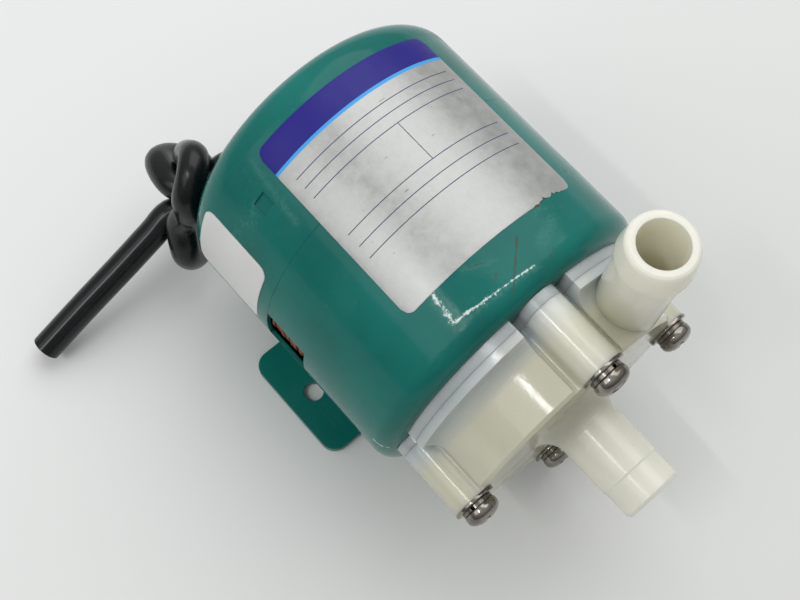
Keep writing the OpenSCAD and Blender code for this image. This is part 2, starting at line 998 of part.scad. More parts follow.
module cord_grommet() {
    color("black")
        at_cord_exit(shell_len)
            difference() {
                union() {
                    cylinder(h = grommet_flange_t, r = grommet_flange_r);
                    translate([0, 0, -shell_t])
                        cylinder(h = shell_t + cut, r = grommet_r - press_gap);
                    cylinder(h = grommet_flange_t + grommet_nose, r = grommet_r);
                    translate([0, 0, -shell_t - grommet_flange_t])
                        cylinder(h = grommet_flange_t, r = grommet_flange_r);
                }
                translate([0, 0, -shell_t - grommet_flange_t - cut])
                    cylinder(h = shell_t + 2 * grommet_flange_t, r = cord_r - grommet_lip);
            }
}

// Smooth curve through the route: one point between knots b and c at share t
function curve_point(a, b, c, d, t) =
    0.5 * (2 * b + (c - a) * t + (2 * a - 5 * b + 4 * c - d) * t * t + (3 * b - a - 3 * c + d) * t * t * t);
function route_at(i) = cord_route[max(0, min(len(cord_route) - 1, i))];
function unit(v) = v / norm(v);

cord_line = [
    for (i = [0 : len(cord_route) - 2], k = [0 : cord_steps - 1])
        curve_point(route_at(i - 1), route_at(i), route_at(i + 1), route_at(i + 2), k / cord_steps),
    cord_route[len(cord_route) - 1]
];
cord_rings = len(cord_line);
cord_dirs = [
    for (i = [0 : cord_rings - 1])
        i == 0 ? [0, 1, 0] : unit(cord_line[min(i + 1, cord_rings - 1)] - cord_line[i - 1])
];
// Side direction carried along the cord without twist
function carried(side, dir) = unit(side - (side * dir) * dir);
function cord_sides_from(i, side) =
    i == cord_rings ? [] : concat([carried(side, cord_dirs[i])], cord_sides_from(i + 1, carried(side, cord_dirs[i])));
cord_side = cord_sides_from(0, [1, 0, 0]);

module cord_tube(r) {
    points = [
        for (i = [0 : cord_rings - 1], k = [0 : cord_sides - 1])
            cord_line[i]
            + r * cos(k * 360 / cord_sides) * cord_side[i]
            + r * sin(k * 360 / cord_sides) * cross(cord_dirs[i], cord_side[i])
    ];
    walls = [
        for (i = [0 : cord_rings - 2], k = [0 : cord_sides - 1])
            [
                i * cord_sides + k, (i + 1) * cord_sides + k,
                (i + 1) * cord_sides + (k + 1) % cord_sides, i * cord_sides + (k + 1) % cord_sides
            ]
    ];
    first = [for (k = [0 : cord_sides - 1]) k];
    last = [for (k = [cord_sides - 1 : -1 : 0]) (cord_rings - 1) * cord_sides + k];
    polyhedron(points = points, faces = concat(walls, [first], [last]));
}

module power_cord() {
    color("black")
        translate([cord_exit_x, front_y + cord_start_s, cord_exit_z])
            cord_tube(cord_r);
}

// Bare copper ends of the conductors at the cut end of the cord
module cord_conductors() {
    far = cord_line[cord_rings - 1];
    dir = cord_dirs[cord_rings - 1];
    yaw = atan2(dir[1], dir[0]);
    pitch = acos(dir[2]);
    color("peru")
        translate([cord_exit_x, front_y + cord_start_s, cord_exit_z] + far)
            rotate([0, pitch, yaw])
                for (i = [0 : conductor_count - 1])
                    rotate([0, 0, i * 360 / conductor_count])
                        translate([conductor_circle_r, 0, 0])
                            cylinder(h = conductor_len, d = conductor_d);
}

front_casing();
rear_casing();
casing_o_ring();
spindle();
front_thrust_washer();
rear_thrust_washer();
impeller();
impeller_bush();
impeller_magnet();
impeller_magnet_cap();
bracket();
casing_screws();
spring_washers();
flat_washers();
weld_nuts();
front_shell();
rear_shell();
base_plate();
base_welds();
bearing_plate();
front_bearing();
rear_bearing();
motor_shaft();
rotor_core();
rotor_cage();
drive_yoke();
drive_magnet();
yoke_set_screw();
stator_core();
stator_windings();
thermal_protector();
cord_grommet();
power_cord();
cord_conductors();
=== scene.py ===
# %% [markdown]
# # A small magnetic drive pump
# The pump is packed from solids already, each one a named piece on its body.
# This lesson dresses those solids: it adds the thin and soft pieces that solids
# cannot show well, gives every surface its finish, and sets up a plain studio.
# First the imported model is loaded.

# %% Load the imported pump
import json
import math
import bpy
import numpy as np
from mathutils import Matrix, Vector


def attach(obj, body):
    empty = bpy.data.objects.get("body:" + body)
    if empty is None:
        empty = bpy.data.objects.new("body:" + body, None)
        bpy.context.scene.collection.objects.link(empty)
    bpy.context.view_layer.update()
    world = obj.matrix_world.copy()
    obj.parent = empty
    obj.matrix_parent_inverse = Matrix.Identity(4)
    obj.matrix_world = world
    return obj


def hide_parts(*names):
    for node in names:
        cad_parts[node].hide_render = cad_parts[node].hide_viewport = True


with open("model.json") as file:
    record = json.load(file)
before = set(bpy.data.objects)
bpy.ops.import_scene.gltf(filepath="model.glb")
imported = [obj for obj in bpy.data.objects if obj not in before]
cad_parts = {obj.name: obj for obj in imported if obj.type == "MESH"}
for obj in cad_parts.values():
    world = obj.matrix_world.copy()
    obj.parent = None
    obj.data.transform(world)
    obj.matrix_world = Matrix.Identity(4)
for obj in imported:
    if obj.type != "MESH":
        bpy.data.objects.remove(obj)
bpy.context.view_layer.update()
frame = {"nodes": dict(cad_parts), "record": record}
nodes = frame["nodes"]
print("loaded", len(nodes), "solids")

# %% [markdown]
# ## The camera
# The photograph looks down at the pump from the front left, with the can lying
# across the picture. A camera can be aimed with a tracking constraint, but here
# its place and its three directions were fitted to the can, the foot and the two
# spigots, so they are written straight into its matrix.

# %% Camera
MM = 0.001
CAMERA_PLACE = np.array([-82.77, -68.42, 280.44]) * MM
PICTURE_RIGHT = np.array([0.74789, -0.66204, 0.04858])
PICTURE_DOWN = np.array([-0.60394, -0.70897, -0.36416])
PICTURE_DEPTH = np.array([0.27553, 0.24302, -0.93007])
SENSOR_WIDE = 36.0
LENS = 52.03
NEAREST = 0.01
eye = bpy.data.cameras.new("photo_camera")
eye.sensor_width = SENSOR_WIDE
eye.lens = LENS
eye.clip_start = NEAREST
camera = bpy.data.objects.new("photo_camera", eye)
axes = np.stack([PICTURE_RIGHT, -PICTURE_DOWN, -PICTURE_DEPTH], axis=1)
camera.matrix_world = Matrix.Translation(CAMERA_PLACE.tolist()) @ Matrix(axes.tolist()).to_4x4()
bpy.context.scene.collection.objects.link(camera)
bpy.context.scene.camera = camera
print("camera at", [round(v, 3) for v in CAMERA_PLACE.tolist()], "m, lens", LENS, "mm")

# %% [markdown]
# ## From grids to meshes
# Every new piece is one or more grids of points. A grid of rows and columns
# becomes four-sided faces, and either direction may close on itself. Building
# the faces as one array keeps the script quick, and one function puts all the
# grids of a piece into a single mesh whose place is in its points.

# %% Grid helpers
def grid_faces(rows, columns, close_rows=False, close_columns=False):
    """Each face joins a point, its neighbour along the row, and the two points of the next row."""
    i = np.arange(rows if close_rows else rows - 1)[:, None]
    k = np.arange(columns if close_columns else columns - 1)[None, :]
    i2 = (i + 1) % rows
    k2 = (k + 1) % columns
    quads = np.stack(np.broadcast_arrays(i * columns + k, i * columns + k2,
                                         i2 * columns + k2, i2 * columns + k), axis=-1)
    return quads.reshape(-1, 4)


def make_piece(name, grids, body, sharp=40.0, uv=None):
    """Joins grids of (points in mm, close rows, close columns) into one mesh piece on a body."""
    points, faces, start = [], [], 0
    for grid, close_rows, close_columns in grids:
        rows, columns = grid.shape[:2]
        points.append(grid.reshape(-1, 3))
        faces.append(grid_faces(rows, columns, close_rows, close_columns) + start)
        start += rows * columns
    points = np.concatenate(points) * MM
    faces = np.concatenate(faces)
    mesh = bpy.data.meshes.new(name)
    mesh.from_pydata(points.tolist(), [], faces.tolist())
    if uv is not None:
        layer = mesh.uv_layers.new(name="sheet")
        corners = np.empty(len(mesh.loops), dtype=np.int32)
        mesh.loops.foreach_get("vertex_index", corners)
        layer.data.foreach_set("uv", uv[corners].astype(np.float32).ravel())
    mesh.update()
    mesh.validate()
    mesh.polygons.foreach_set("use_smooth", np.ones(len(mesh.polygons), dtype=bool))
    mesh.set_sharp_from_angle(angle=math.radians(sharp))
    piece = bpy.data.objects.new(name, mesh)
    bpy.context.scene.collection.objects.link(piece)
    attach(piece, body)
    print(name, len(mesh.vertices), "points,", len(mesh.polygons), "faces")
    return piece


print("a grid of 3 by 4 points has", len(grid_faces(3, 4)), "faces")

# %% [markdown]
# ## The power cord
# A round black three-core lead comes out of the rear grommet, is tied in one
# tight overhand knot against the rear rim, and ends in a cut stub on the floor.
# It could be a curve with a bevel, but a tube of rings lets the cut end be
# shaped too. The route is a short list of points counted from the
# exit; a smooth curve goes through all of them, and a ring follows the curve
# without twisting.

# %% Cord route
CORD_D = 7.2
CORD_EXIT = np.array([-14.5, 43.9, 33.0])
CORD_ROUTE = np.array([
    [0, 0, 0], [-0.5, 2.5, 0], [-2.5, 4.5, 0], [-5.5, 5, 0], [-9, 5.5, -2], [-13.5, 6.5, -2],
    [-16, 11, -2], [-14, 19, -5.5], [-9, 20, -11], [-7.5, 15.5, -14.5], [-12, 9.5, -17.5],
    [-14, 6, -19.5], [-17.5, 1.5, -20.5], [-20.5, -0.5, -18.5], [-22.5, -1.5, -13.5],
    [-22.5, -1, -9], [-20.5, 1.5, -3.5], [-18.5, 0, 1], [-18.5, -0.5, 4.5], [-18, 0, 9],
    [-14.5, 2, 13], [-11.5, 5.5, 12.5], [-10.5, 9.5, 7], [-8.5, 13.5, -1.5], [-7, 12, -7],
    [-8.5, 8, -9.5], [-14, 5.5, -9.5], [-20, 7.5, -8.5], [-26, 7.5, -11.5], [-36, 7.5, -16.5],
    [-49, 7.5, -22.5], [-62, 7.5, -29]])
ROUTE_STEPS = 6
GROMMET_WAY = [0, 1, 0]
GROMMET_SIDE = [1, 0, 0]


def smooth_route(points, steps):
    """A cubic between two points, whose slope at each is half the step between its neighbours."""
    ends = np.vstack([points[:1], points, points[-1:]])[:, None]
    a, b, c, d = ends[:-3], ends[1:-2], ends[2:-1], ends[3:]
    t = (np.arange(steps) / steps)[None, :, None]
    bend = (2 * a - 5 * b + 4 * c - d) * t**2 + (3 * b - a - 3 * c + d) * t**3
    curve = 0.5 * (2 * b + (c - a) * t + bend)
    return np.vstack([curve.reshape(-1, 3), points[-1:]])


def ring_frames(line, first_way, first_side):
    """Each ring's side direction is the one before it, less its part along the new direction."""
    ahead = np.gradient(line, axis=0)
    ahead /= np.linalg.norm(ahead, axis=1, keepdims=True)
    ahead[0] = first_way
    sides = [np.array(first_side, dtype=float)]
    for way in ahead[1:]:
        side = sides[-1] - (sides[-1] @ way) * way
        sides.append(side / np.linalg.norm(side))
    sides = np.array(sides)
    return ahead, sides, np.cross(ahead, sides)


cord_line = CORD_EXIT + smooth_route(CORD_ROUTE, ROUTE_STEPS)
cord_steps = np.linalg.norm(np.diff(cord_line, axis=0), axis=1)

# %% Cord tube
CORD_R = 0.5 * CORD_D
CORD_SIDES = 28
# Rings close both ends: shares of the radius, and at the cut how far each one stands ahead
START_SHARES = np.array([0.0, 0.6])[:, None, None]
CUT_SHARES = np.array([0.97, 0.9, 0.74, 0.4, 0.0])[:, None, None]
CUT_AHEAD = np.array([0.1, 0.14, 0.14, 0.14, 0.14])[:, None, None]
along, side, up = ring_frames(cord_line, GROMMET_WAY, GROMMET_SIDE)
angle = np.linspace(0, 2 * np.pi, CORD_SIDES, endpoint=False)
spokes = side[:, None] * np.cos(angle)[:, None] + up[:, None] * np.sin(angle)[:, None]
tube = cord_line[:, None] + CORD_R * spokes
start_cap = cord_line[0] + CORD_R * START_SHARES * spokes[0]
cut_cap = cord_line[-1] + along[-1] * CUT_AHEAD + CORD_R * CUT_SHARES * spokes[-1]
rings = np.concatenate([start_cap, tube, cut_cap])
# The tube's own map: the run along the cord in mm, and the share of a turn round it
run = np.cumsum(np.r_[0, cord_steps])
run = np.concatenate([np.zeros(len(start_cap)), run, np.full(len(cut_cap), run[-1])])
turns = angle / (2 * np.pi)
cord_uv = np.stack(np.broadcast_arrays(run[:, None], turns[None, :]), axis=-1).reshape(-1, 2)
power_cord = make_piece("cord_sheath", [(rings, False, True)], "pump", uv=cord_uv)
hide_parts("power_cord")

# %% [markdown]
# ## The name plate and the paper sticker
# On the real pump a printed metal foil is glued over the top of the can, and a
# small white paper sticker near its rear edge. Both are thin sheets bent to the
# can. A flat sheet could be wrapped with a modifier; it is plainer to work out
# each point from its distance along the can and its angle round it. The outline
# is a rectangle with rounded corners, and both sheets stay plain.

# %% Sheets bent round the can
SHELL_R = 37.5
SHELL_LEN = 70.0
REAR_ROUND = 8.0
AXIS_Z = 39.5
FRONT_Y = -30.7
# Ranges in mm behind the can's front and in degrees round it
PLATE_S = (13.4, 60.4)
PLATE_ANGLES = (51.5, 125.3)
PLATE_T = 0.14
PLATE_CORNER = 2.2
PLATE_RAGGED = 0.5
STICKER_S = (43.3, 63.5)
STICKER_ANGLES = (153.5, 184.0)
STICKER_T = 0.11
STICKER_CORNER = 2.4
SHEET_POINTS = 97
TOP_LIFT = 0.03
UNDER_LIFT = 0.015
EDGE_THINNED = 0.5
# The plate's front edge is chipped in one place, as shares of half its width
CHIPS_MIDDLE = -0.64
CHIPS_HALF = 0.22


def can_radius(s):
    """The can is a cylinder whose rear edge turns in along a quarter circle."""
    into = np.clip(s - (SHELL_LEN - REAR_ROUND), 0, REAR_ROUND)
    return SHELL_R - REAR_ROUND + np.sqrt(REAR_ROUND**2 - into**2)


def on_can(s, degrees, lift):
    """Distance along the can, angle round it and height above its skin become a point."""
    r = can_radius(s) + lift
    turn = np.radians(degrees)
    return np.stack([r * np.cos(turn), s + FRONT_Y, AXIS_Z + r * np.sin(turn)], axis=-1)


def bent_sheet(name, s_range, angle_range, thick, corner, ragged=0.0):
    """Rows run along the can. A quarter circle shortens them near the corners, and two sines
    added up nick the front edge where it is chipped."""
    across = np.linspace(-1, 1, SHEET_POINTS)
    v, u = np.meshgrid(across, across, indexing="ij")
    half_s = 0.5 * (s_range[1] - s_range[0])
    half_a = 0.5 * (angle_range[1] - angle_range[0])
    half_w = math.radians(half_a) * SHELL_R
    beyond = np.clip(np.abs(v) * half_w - (half_w - corner), 0, corner)
    reach = half_s - corner + np.sqrt(np.maximum(corner**2 - beyond**2, 0))
    chipped = np.clip(1 - ((v - CHIPS_MIDDLE) / CHIPS_HALF) ** 2, 0, 1)
    nick = ragged * chipped * np.abs(np.sin(v * 31 + 1) + np.sin(v * 73))
    along = u * reach + np.where(u < 0, -u, 0) ** 8 * nick
    s = 0.5 * sum(s_range) + along
    degrees = 0.5 * sum(angle_range) + v * half_a
    inset = 1 - np.maximum(np.abs(u), np.abs(v)) ** 40 * EDGE_THINNED
    top = on_can(s, degrees, TOP_LIFT + thick * inset)
    under = on_can(s, degrees, UNDER_LIFT)
    wall = np.stack([np.concatenate([skin[0, :-1], skin[:-1, -1], skin[-1, :0:-1], skin[:0:-1, 0]])
                     for skin in (under, top)])
    flat = np.stack([along / (2 * half_s) + 0.5, 0.5 * v + 0.5], axis=-1)
    wall_uv = np.full((2 * wall.shape[1], 2), 0.5)
    uv = np.concatenate([flat[:, ::-1].reshape(-1, 2), flat.reshape(-1, 2), wall_uv])
    grids = [(top[:, ::-1], False, False), (under, False, False), (wall, False, True)]
    return make_piece(name, grids, "pump", uv=uv)


name_plate = bent_sheet("name_plate", PLATE_S, PLATE_ANGLES, PLATE_T, PLATE_CORNER,
                        ragged=PLATE_RAGGED)
paper_sticker = bent_sheet("paper_sticker", STICKER_S, STICKER_ANGLES, STICKER_T, STICKER_CORNER)

# %% [markdown]
# ## Screws and washers
# Four nickel-plated pan head screws with a cross recess hold the pump head, each
# on a split spring washer and a flat washer. A head could be cut with a boolean;
# here its height is one formula of the distance from the middle and the angle,
# with the cross pressed into it, and the thread is a helix on the shank's radius.

# %% Pan head screws
EAR_FRONT_S = -18.8
EAR_CIRCLE_R = 29.7
EAR_ANGLES = np.radians([0, 90, 180, 270])
WASHER_T = 0.8
SPRING_T = 1.0
washer_s = EAR_FRONT_S - WASHER_T
spring_s = washer_s - SPRING_T
HEAD_R = 4.0
HEAD_H = 3.1
DOME_H = 2.05
DOME_POWER = 2.6
RIM_H = 0.3
RIM_EASE = 0.15
SCREW_R = 2.0
SHANK_R = 1.96
SCREW_TAIL = 5.2
POINT_R = 1.3
POINT_LEN = 0.4
THREAD_START = -6.0
THREAD_RUN_IN = 0.2
THREAD_R = 1.98
THREAD_DEEP = 0.36
THREAD_PITCH = 0.7
SCREW_SIDES = 96
SCREW_TURNS = (20, 62, 5, 38)
# The cross: half width of an arm, loss of it per mm, width of the sloping wall, reach of an
# arm, length over which it runs out, depth in the middle, and the share of it lost per mm
CROSS_HALF = 0.62
CROSS_TAPER = 0.09
CROSS_WALL = 0.16
CROSS_REACH = 2.3
CROSS_RUN_OUT = 0.25
CROSS_DEEP = 1.55
CROSS_RISE = 0.16


def at_ears(local, turns):
    """Turns each copy of (x, y, s) about its own screw axis and carries it to one of the ears."""
    copies = []
    for ear, own in zip(EAR_ANGLES, np.radians(turns)):
        x = local[..., 0] * np.cos(own) - local[..., 1] * np.sin(own) + EAR_CIRCLE_R * np.cos(ear)
        z = local[..., 0] * np.sin(own) + local[..., 1] * np.cos(own) + EAR_CIRCLE_R * np.sin(ear)
        copies.append(np.stack([x, local[..., 2] + FRONT_Y, AXIS_Z + z], axis=-1))
    return copies


def cross_recess(x, y):
    """Two arms that narrow outwards and run out in depth; the deepest place is the middle."""
    thin, long = np.minimum(np.abs(x), np.abs(y)), np.maximum(np.abs(x), np.abs(y))
    width = CROSS_HALF - CROSS_TAPER * long
    wall = np.clip((width - thin) / CROSS_WALL, 0, 1)
    run_out = np.clip((CROSS_REACH - long) / CROSS_RUN_OUT, 0, 1)
    return CROSS_DEEP * wall * run_out * (1 - CROSS_RISE * long)


phi = np.linspace(0, 2 * np.pi, SCREW_SIDES, endpoint=False)
once_round = np.ones_like(phi)
# Close rings where the cross is, wider ones out to the rim
share = np.concatenate([np.linspace(0.0, 0.66, 36), np.linspace(0.69, 1.0, 14)])
r_head = (HEAD_R * share)[:, None] * once_round
x_head, y_head = r_head * np.cos(phi), r_head * np.sin(phi)
# The dome is a flattened circle, which the factor keeps just short of upright at the rim
dome = DOME_H * (1 - np.sqrt(np.clip(1 - (share * 0.995) ** DOME_POWER, 0, 1)))[:, None]
head_s = spring_s - HEAD_H + dome + cross_recess(x_head, y_head)
head = np.stack([x_head, y_head, head_s], axis=-1)
# Below the head: its rim and underside, the plain shank, the thread and the point
thread_s = np.linspace(THREAD_START, SCREW_TAIL - POINT_LEN, 120)[:, None]
tooth = np.abs(((thread_s / THREAD_PITCH - phi / (2 * np.pi)) % 1.0) - 0.5) * 2
thread_r = THREAD_R - THREAD_DEEP * tooth
neck_s = [spring_s - RIM_H, spring_s, spring_s, spring_s, THREAD_START - THREAD_RUN_IN]
neck_r = np.array([HEAD_R, HEAD_R - RIM_EASE, SCREW_R, SHANK_R, SHANK_R])[:, None] * once_round
point_r = np.array([POINT_R, 0.0])[:, None] * once_round
shank_s = np.concatenate([neck_s, thread_s[:, 0], [SCREW_TAIL, SCREW_TAIL]])[:, None] * once_round
shank_r = np.concatenate([neck_r, thread_r, point_r])
shank = np.stack([shank_r * np.cos(phi), shank_r * np.sin(phi), shank_s], axis=-1)
screw_grids = [(g, False, True) for g in at_ears(np.concatenate([head, shank]), SCREW_TURNS)]
screws = make_piece("pan_head_screws", screw_grids, "pump")
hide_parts("casing_screws")

# %% Spring washers and flat washers
# Corners of both sections as radius and height in mm
SPRING_SECTION = np.array([[2.1, 0.06], [3.7, 0.06], [3.8, 0.14], [3.8, 0.9], [3.7, 0.97],
                           [2.1, 0.97]])
SPRING_ENDS = (6, 354)
SPRING_STEPS = 90
SPRING_LIFT = 0.05
SPRING_HEIGHTS = (0.02, 0.98)
SPRING_TURNS = (200, 75, 120, 310)
FLAT_SECTION = np.array([[2.1, 0.06], [2.18, 0.0], [4.84, 0.0], [4.97, 0.07], [5.0, 0.2],
                         [5.0, 0.6], [4.97, 0.73], [4.84, 0.8], [2.18, 0.8], [2.1, 0.74]])
FLAT_TURNS = (0, 0, 0, 0)
# A spring washer is nearly a full turn of its section, with its ends sprung apart and closed
around = np.radians(np.linspace(*SPRING_ENDS, SPRING_STEPS))[:, None]
radius, height = SPRING_SECTION.T
lifted = np.clip(height + SPRING_LIFT * np.cos(around * 0.5), *SPRING_HEIGHTS)
spring = np.stack([radius * np.cos(around), radius * np.sin(around), spring_s + lifted], axis=-1)
middle = np.repeat(spring.mean(axis=1, keepdims=True), len(SPRING_SECTION), axis=1)
spring = np.concatenate([middle[:1], spring, middle[-1:]])
spring_grids = [(g[:, ::-1], False, True) for g in at_ears(spring, SPRING_TURNS)]
spring_piece = make_piece("split_spring_washers", spring_grids, "pump")
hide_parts("spring_washers")
# A flat washer is its section carried once round
radius, height = FLAT_SECTION.T[:, :, None]
flat_s = (washer_s + height) * once_round
flat = np.stack([radius * np.cos(phi), radius * np.sin(phi), flat_s], axis=-1)
flat_grids = [(g, True, True) for g in at_ears(flat, FLAT_TURNS)]
flat_piece = make_piece("round_washers", flat_grids, "pump")
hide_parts("flat_washers")

# %% [markdown]
# ## Winding strands behind the vent windows
# Through the side vents one sees the front overhang of the stator winding:
# varnished copper wires laid round the can's inside and laced together. The
# solid shows the bundle as a ring, so a layer of wavy strands is laid on it.
# Each strand is a thin tube along a circle that wanders a little.

# %% Winding strands
STRANDS = 11
STRAND_R = 0.52
STRAND_FIRST_S = 30.3
STRAND_STEP = 0.92
BUNDLE_R = 34.15
WINDOW_BULGE = 1.45
theta = np.linspace(0, 2 * np.pi, 300, endpoint=False)[:, None]
tube_angle = np.linspace(0, 2 * np.pi, 9, endpoint=False)
strands = []
# A strand wanders along the axis by two sines and in radius by a third, and bulges at the vents
for k in range(STRANDS):
    wander = 0.28 * np.sin(7 * theta + 1.7 * k) + 0.12 * np.sin(19 * theta + 0.9 * k * k)
    bulge = WINDOW_BULGE * np.cos(theta) ** 24
    centre_r = BUNDLE_R + bulge + 0.18 * np.sin(11 * theta + 2.3 * k)
    r = centre_r + STRAND_R * np.cos(tube_angle)
    s = STRAND_FIRST_S + STRAND_STEP * k + wander + STRAND_R * np.sin(tube_angle)
    strand = np.stack([r * np.cos(theta), s + FRONT_Y, AXIS_Z + r * np.sin(theta)], axis=-1)
    strands.append((strand, True, True))
winding = make_piece("winding_strands", strands, "pump", sharp=180)

# %% [markdown]
# ## Finishes: one way to add a node
# Every finish is a small net of shader nodes worked out from the place on the
# object in metres, so a pattern keeps its real size. One function adds a node,
# sets its properties, fills or links its inputs and gives back one output. One
# turns a written colour to the linear one that the shader needs, and a pair opens
# a new finish and closes it with its surface shader.

# %% Shader helpers
# A Mix node that mixes colours has them at its inputs 6 and 7 and its result at output 2
COLOURS = {"data_type": "RGBA", "out": 2}


def linear(code):
    """sRGB hex to linear light, by the standard curve."""
    c = np.array([int(code[i:i + 2], 16) for i in (1, 3, 5)]) / 255.0
    c = np.where(c <= 0.04045, c / 12.92, ((c + 0.055) / 1.055) ** 2.4)
    return (*c.tolist(), 1.0)


def add(tree, kind, inputs=None, out=0, **settings):
    """Adds one shader node and gives back one output; an input is a value, or a socket to link."""
    node = tree.nodes.new("ShaderNode" + kind)
    for key, value in settings.items():
        setattr(node, key, value)
    for key, value in (inputs or {}).items():
        if isinstance(value, bpy.types.NodeSocket):
            tree.links.new(value, node.inputs[key])
        else:
            node.inputs[key].default_value = value
    return node.outputs[out] if len(node.outputs) else None


def per_mm(size):
    """The texture scale at which one feature is so many millimetres wide."""
    return 1000.0 / size


def strongest(tree, masks):
    """The greatest of several masks at each place."""
    joined = masks[0]
    for mask in masks[1:]:
        joined = add(tree, "Math", {0: joined, 1: mask}, operation="MAXIMUM")
    return joined


def open_finish(name):
    """A new empty material, its nodes, and the place on the object that patterns start from."""
    finish = bpy.data.materials.new(name)
    finish.use_nodes = True
    tree = finish.node_tree
    tree.nodes.clear()
    return finish, tree, add(tree, "TexCoord", out="Object")


def close_finish(tree, **sockets):
    """The surface shader, with values and links under its sockets' own names, and the output."""
    inputs = {key.replace("_", " "): value for key, value in sockets.items()}
    add(tree, "OutputMaterial", {"Surface": add(tree, "BsdfPrincipled", inputs)})


print("mid grey in linear light is", round(linear("#808080")[0], 3))

# %% [markdown]
# ## Green stoving enamel on steel
# The can and the foot are deep-drawn and bent sheet steel, dipped or sprayed and
# baked. That gives a glossy skin with a fine orange peel, hair scratches from
# handling, patches rubbed frosty, and chips at the edges that show dark steel and
# rust. The scattered wear is noise at those sizes. A few marks are placed: they are
# strokes on the can's unrolled skin, from a distance along it to an angle round it.
# Some are painted highlight and painted sheen, where lamp light is reflected.

# %% Marks on the can's skin
# Both ends as (mm behind the can's front, degrees round it), then the half width in mm
RUST_MARKS = (
    ((10.8, 84.0), (6.9, 90.4), 0.6), ((6.7, 90.9), (2.6, 97.5), 0.42),
    ((8.0, 96.2), (6.4, 99.8), 0.45), ((12.1, 102.0), (10.6, 97.0), 0.4),
    ((14.6, 57.0), (13.2, 72.0), 0.8), ((4.4, 78.0), (3.2, 81.0), 0.4))
# The first two rubbed strokes follow a lamp's reflection: their frost is painted sheen as well as
# rubbed wear
RUB_AND_SHEEN_MARKS = (
    ((13.2, 115.4), (5.6, 116.4), 2.6), ((5.2, 116.4), (3.4, 86.0), 1.8),
    ((9.5, 70.0), (6.5, 80.0), 4.0), ((12.5, 103.5), (9.5, 94.0), 2.2),
    ((60.0, 128.0), (44.0, 131.0), 2.5))
# Painted highlight: bright strokes where lamp light is reflected on the can and its front edge
PAINTED_HIGHLIGHT_MARKS = (
    ((13.2, 115.3), (6.2, 116.4), 1.1), ((6.2, 116.4), (4.9, 101.5), 0.7),
    ((4.9, 101.5), (4.0, 87.0), 0.45), ((4.4, 176.0), (1.2, 177.0), 0.6))
# Hair scratches lie three ways: how their pattern is turned, and stretched
HAIR_WAYS = (((0.2, 0.1, 0.5), (30, 1, 30)), ((0.9, 0.4, -0.7), (1, 26, 26)),
             ((0.3, 1.1, 1.3), (22, 22, 1)))
HAIR_MM = 34
HAIR_HALF = 0.006
SKIN_SPAN = 100.0


def can_skin(tree, place):
    """Unrolls the can: x is the distance behind its front, y the way round its skin, in mm."""
    at = add(tree, "SeparateXYZ", {"Vector": place}).node.outputs
    s = add(tree, "MapRange", {"Value": at["Y"], "From Min": FRONT_Y * MM,
                               "From Max": (FRONT_Y + SKIN_SPAN) * MM, "To Max": SKIN_SPAN},
            clamp=False)
    high = add(tree, "Math", {0: at["Z"], 1: AXIS_Z * MM}, operation="SUBTRACT")
    turn = add(tree, "Math", {0: high, 1: at["X"]}, operation="ARCTAN2")
    way_round = add(tree, "Math", {0: turn, 1: SHELL_R}, operation="MULTIPLY")
    return add(tree, "CombineXYZ", {"X": s, "Y": way_round})


def stroke(tree, skin, start, end, half_wide):
    """One on a straight stroke and none beyond its half width, by the gap to the nearest place
    on the line."""
    begin, tip = (Vector((s, math.radians(turn) * SHELL_R, 0.0)) for s, turn in (start, end))
    reach = tip - begin
    per_length = reach / reach.length_squared
    away = add(tree, "VectorMath", {0: skin, 1: begin}, operation="SUBTRACT")
    along = add(tree, "VectorMath", {0: away, 1: per_length}, out="Value", operation="DOT_PRODUCT")
    held = add(tree, "Clamp", {"Value": along})
    foot = add(tree, "VectorMath", {0: reach, "Scale": held}, operation="SCALE")
    gap = add(tree, "VectorMath", {0: away, 1: foot}, out="Value", operation="DISTANCE")
    return add(tree, "MapRange", {"Value": gap, "From Max": half_wide,
                                  "To Min": 1.0, "To Max": 0.0})


def strokes(tree, skin, marks):
    """All strokes of one kind as one mask."""
    return strongest(tree, [stroke(tree, skin, *mark) for mark in marks])


def hair_scratches(tree, place):
    """Thin lines where a stretched noise passes through its middle value."""
    lines = []
    for turned, stretch in HAIR_WAYS:
        laid = add(tree, "Mapping", {"Vector": place, "Rotation": turned, "Scale": stretch})
        hair = add(tree, "TexNoise", {"Vector": laid, "Scale": per_mm(HAIR_MM), "Detail": 1.0})
        off = add(tree, "Math", {0: hair, 1: 0.5}, operation="SUBTRACT")
        gap = add(tree, "Math", {0: off}, operation="ABSOLUTE")
        lines.append(add(tree, "MapRange", {"Value": gap, "From Max": HAIR_HALF,
                                            "To Min": 1.0, "To Max": 0.0}))
    return strongest(tree, lines)


# The bright strokes are painted highlight, and two of the rubbed strokes are partly painted sheen
print(len(RUST_MARKS), "rust,", len(RUB_AND_SHEEN_MARKS), "rubbed and", len(PAINTED_HIGHLIGHT_MARKS), "bright strokes")

# %% Green enamel
# Real sizes in mm: slow mottle, grit in the wear, handled patches, chips, orange peel
MOTTLE_MM = 26
GRIT_MM = 0.9
PATCH_MM = 14
FLAKE_MM = 2.6
PEEL_MM = 0.8
ENAMEL_EDGE = 0.35 * MM


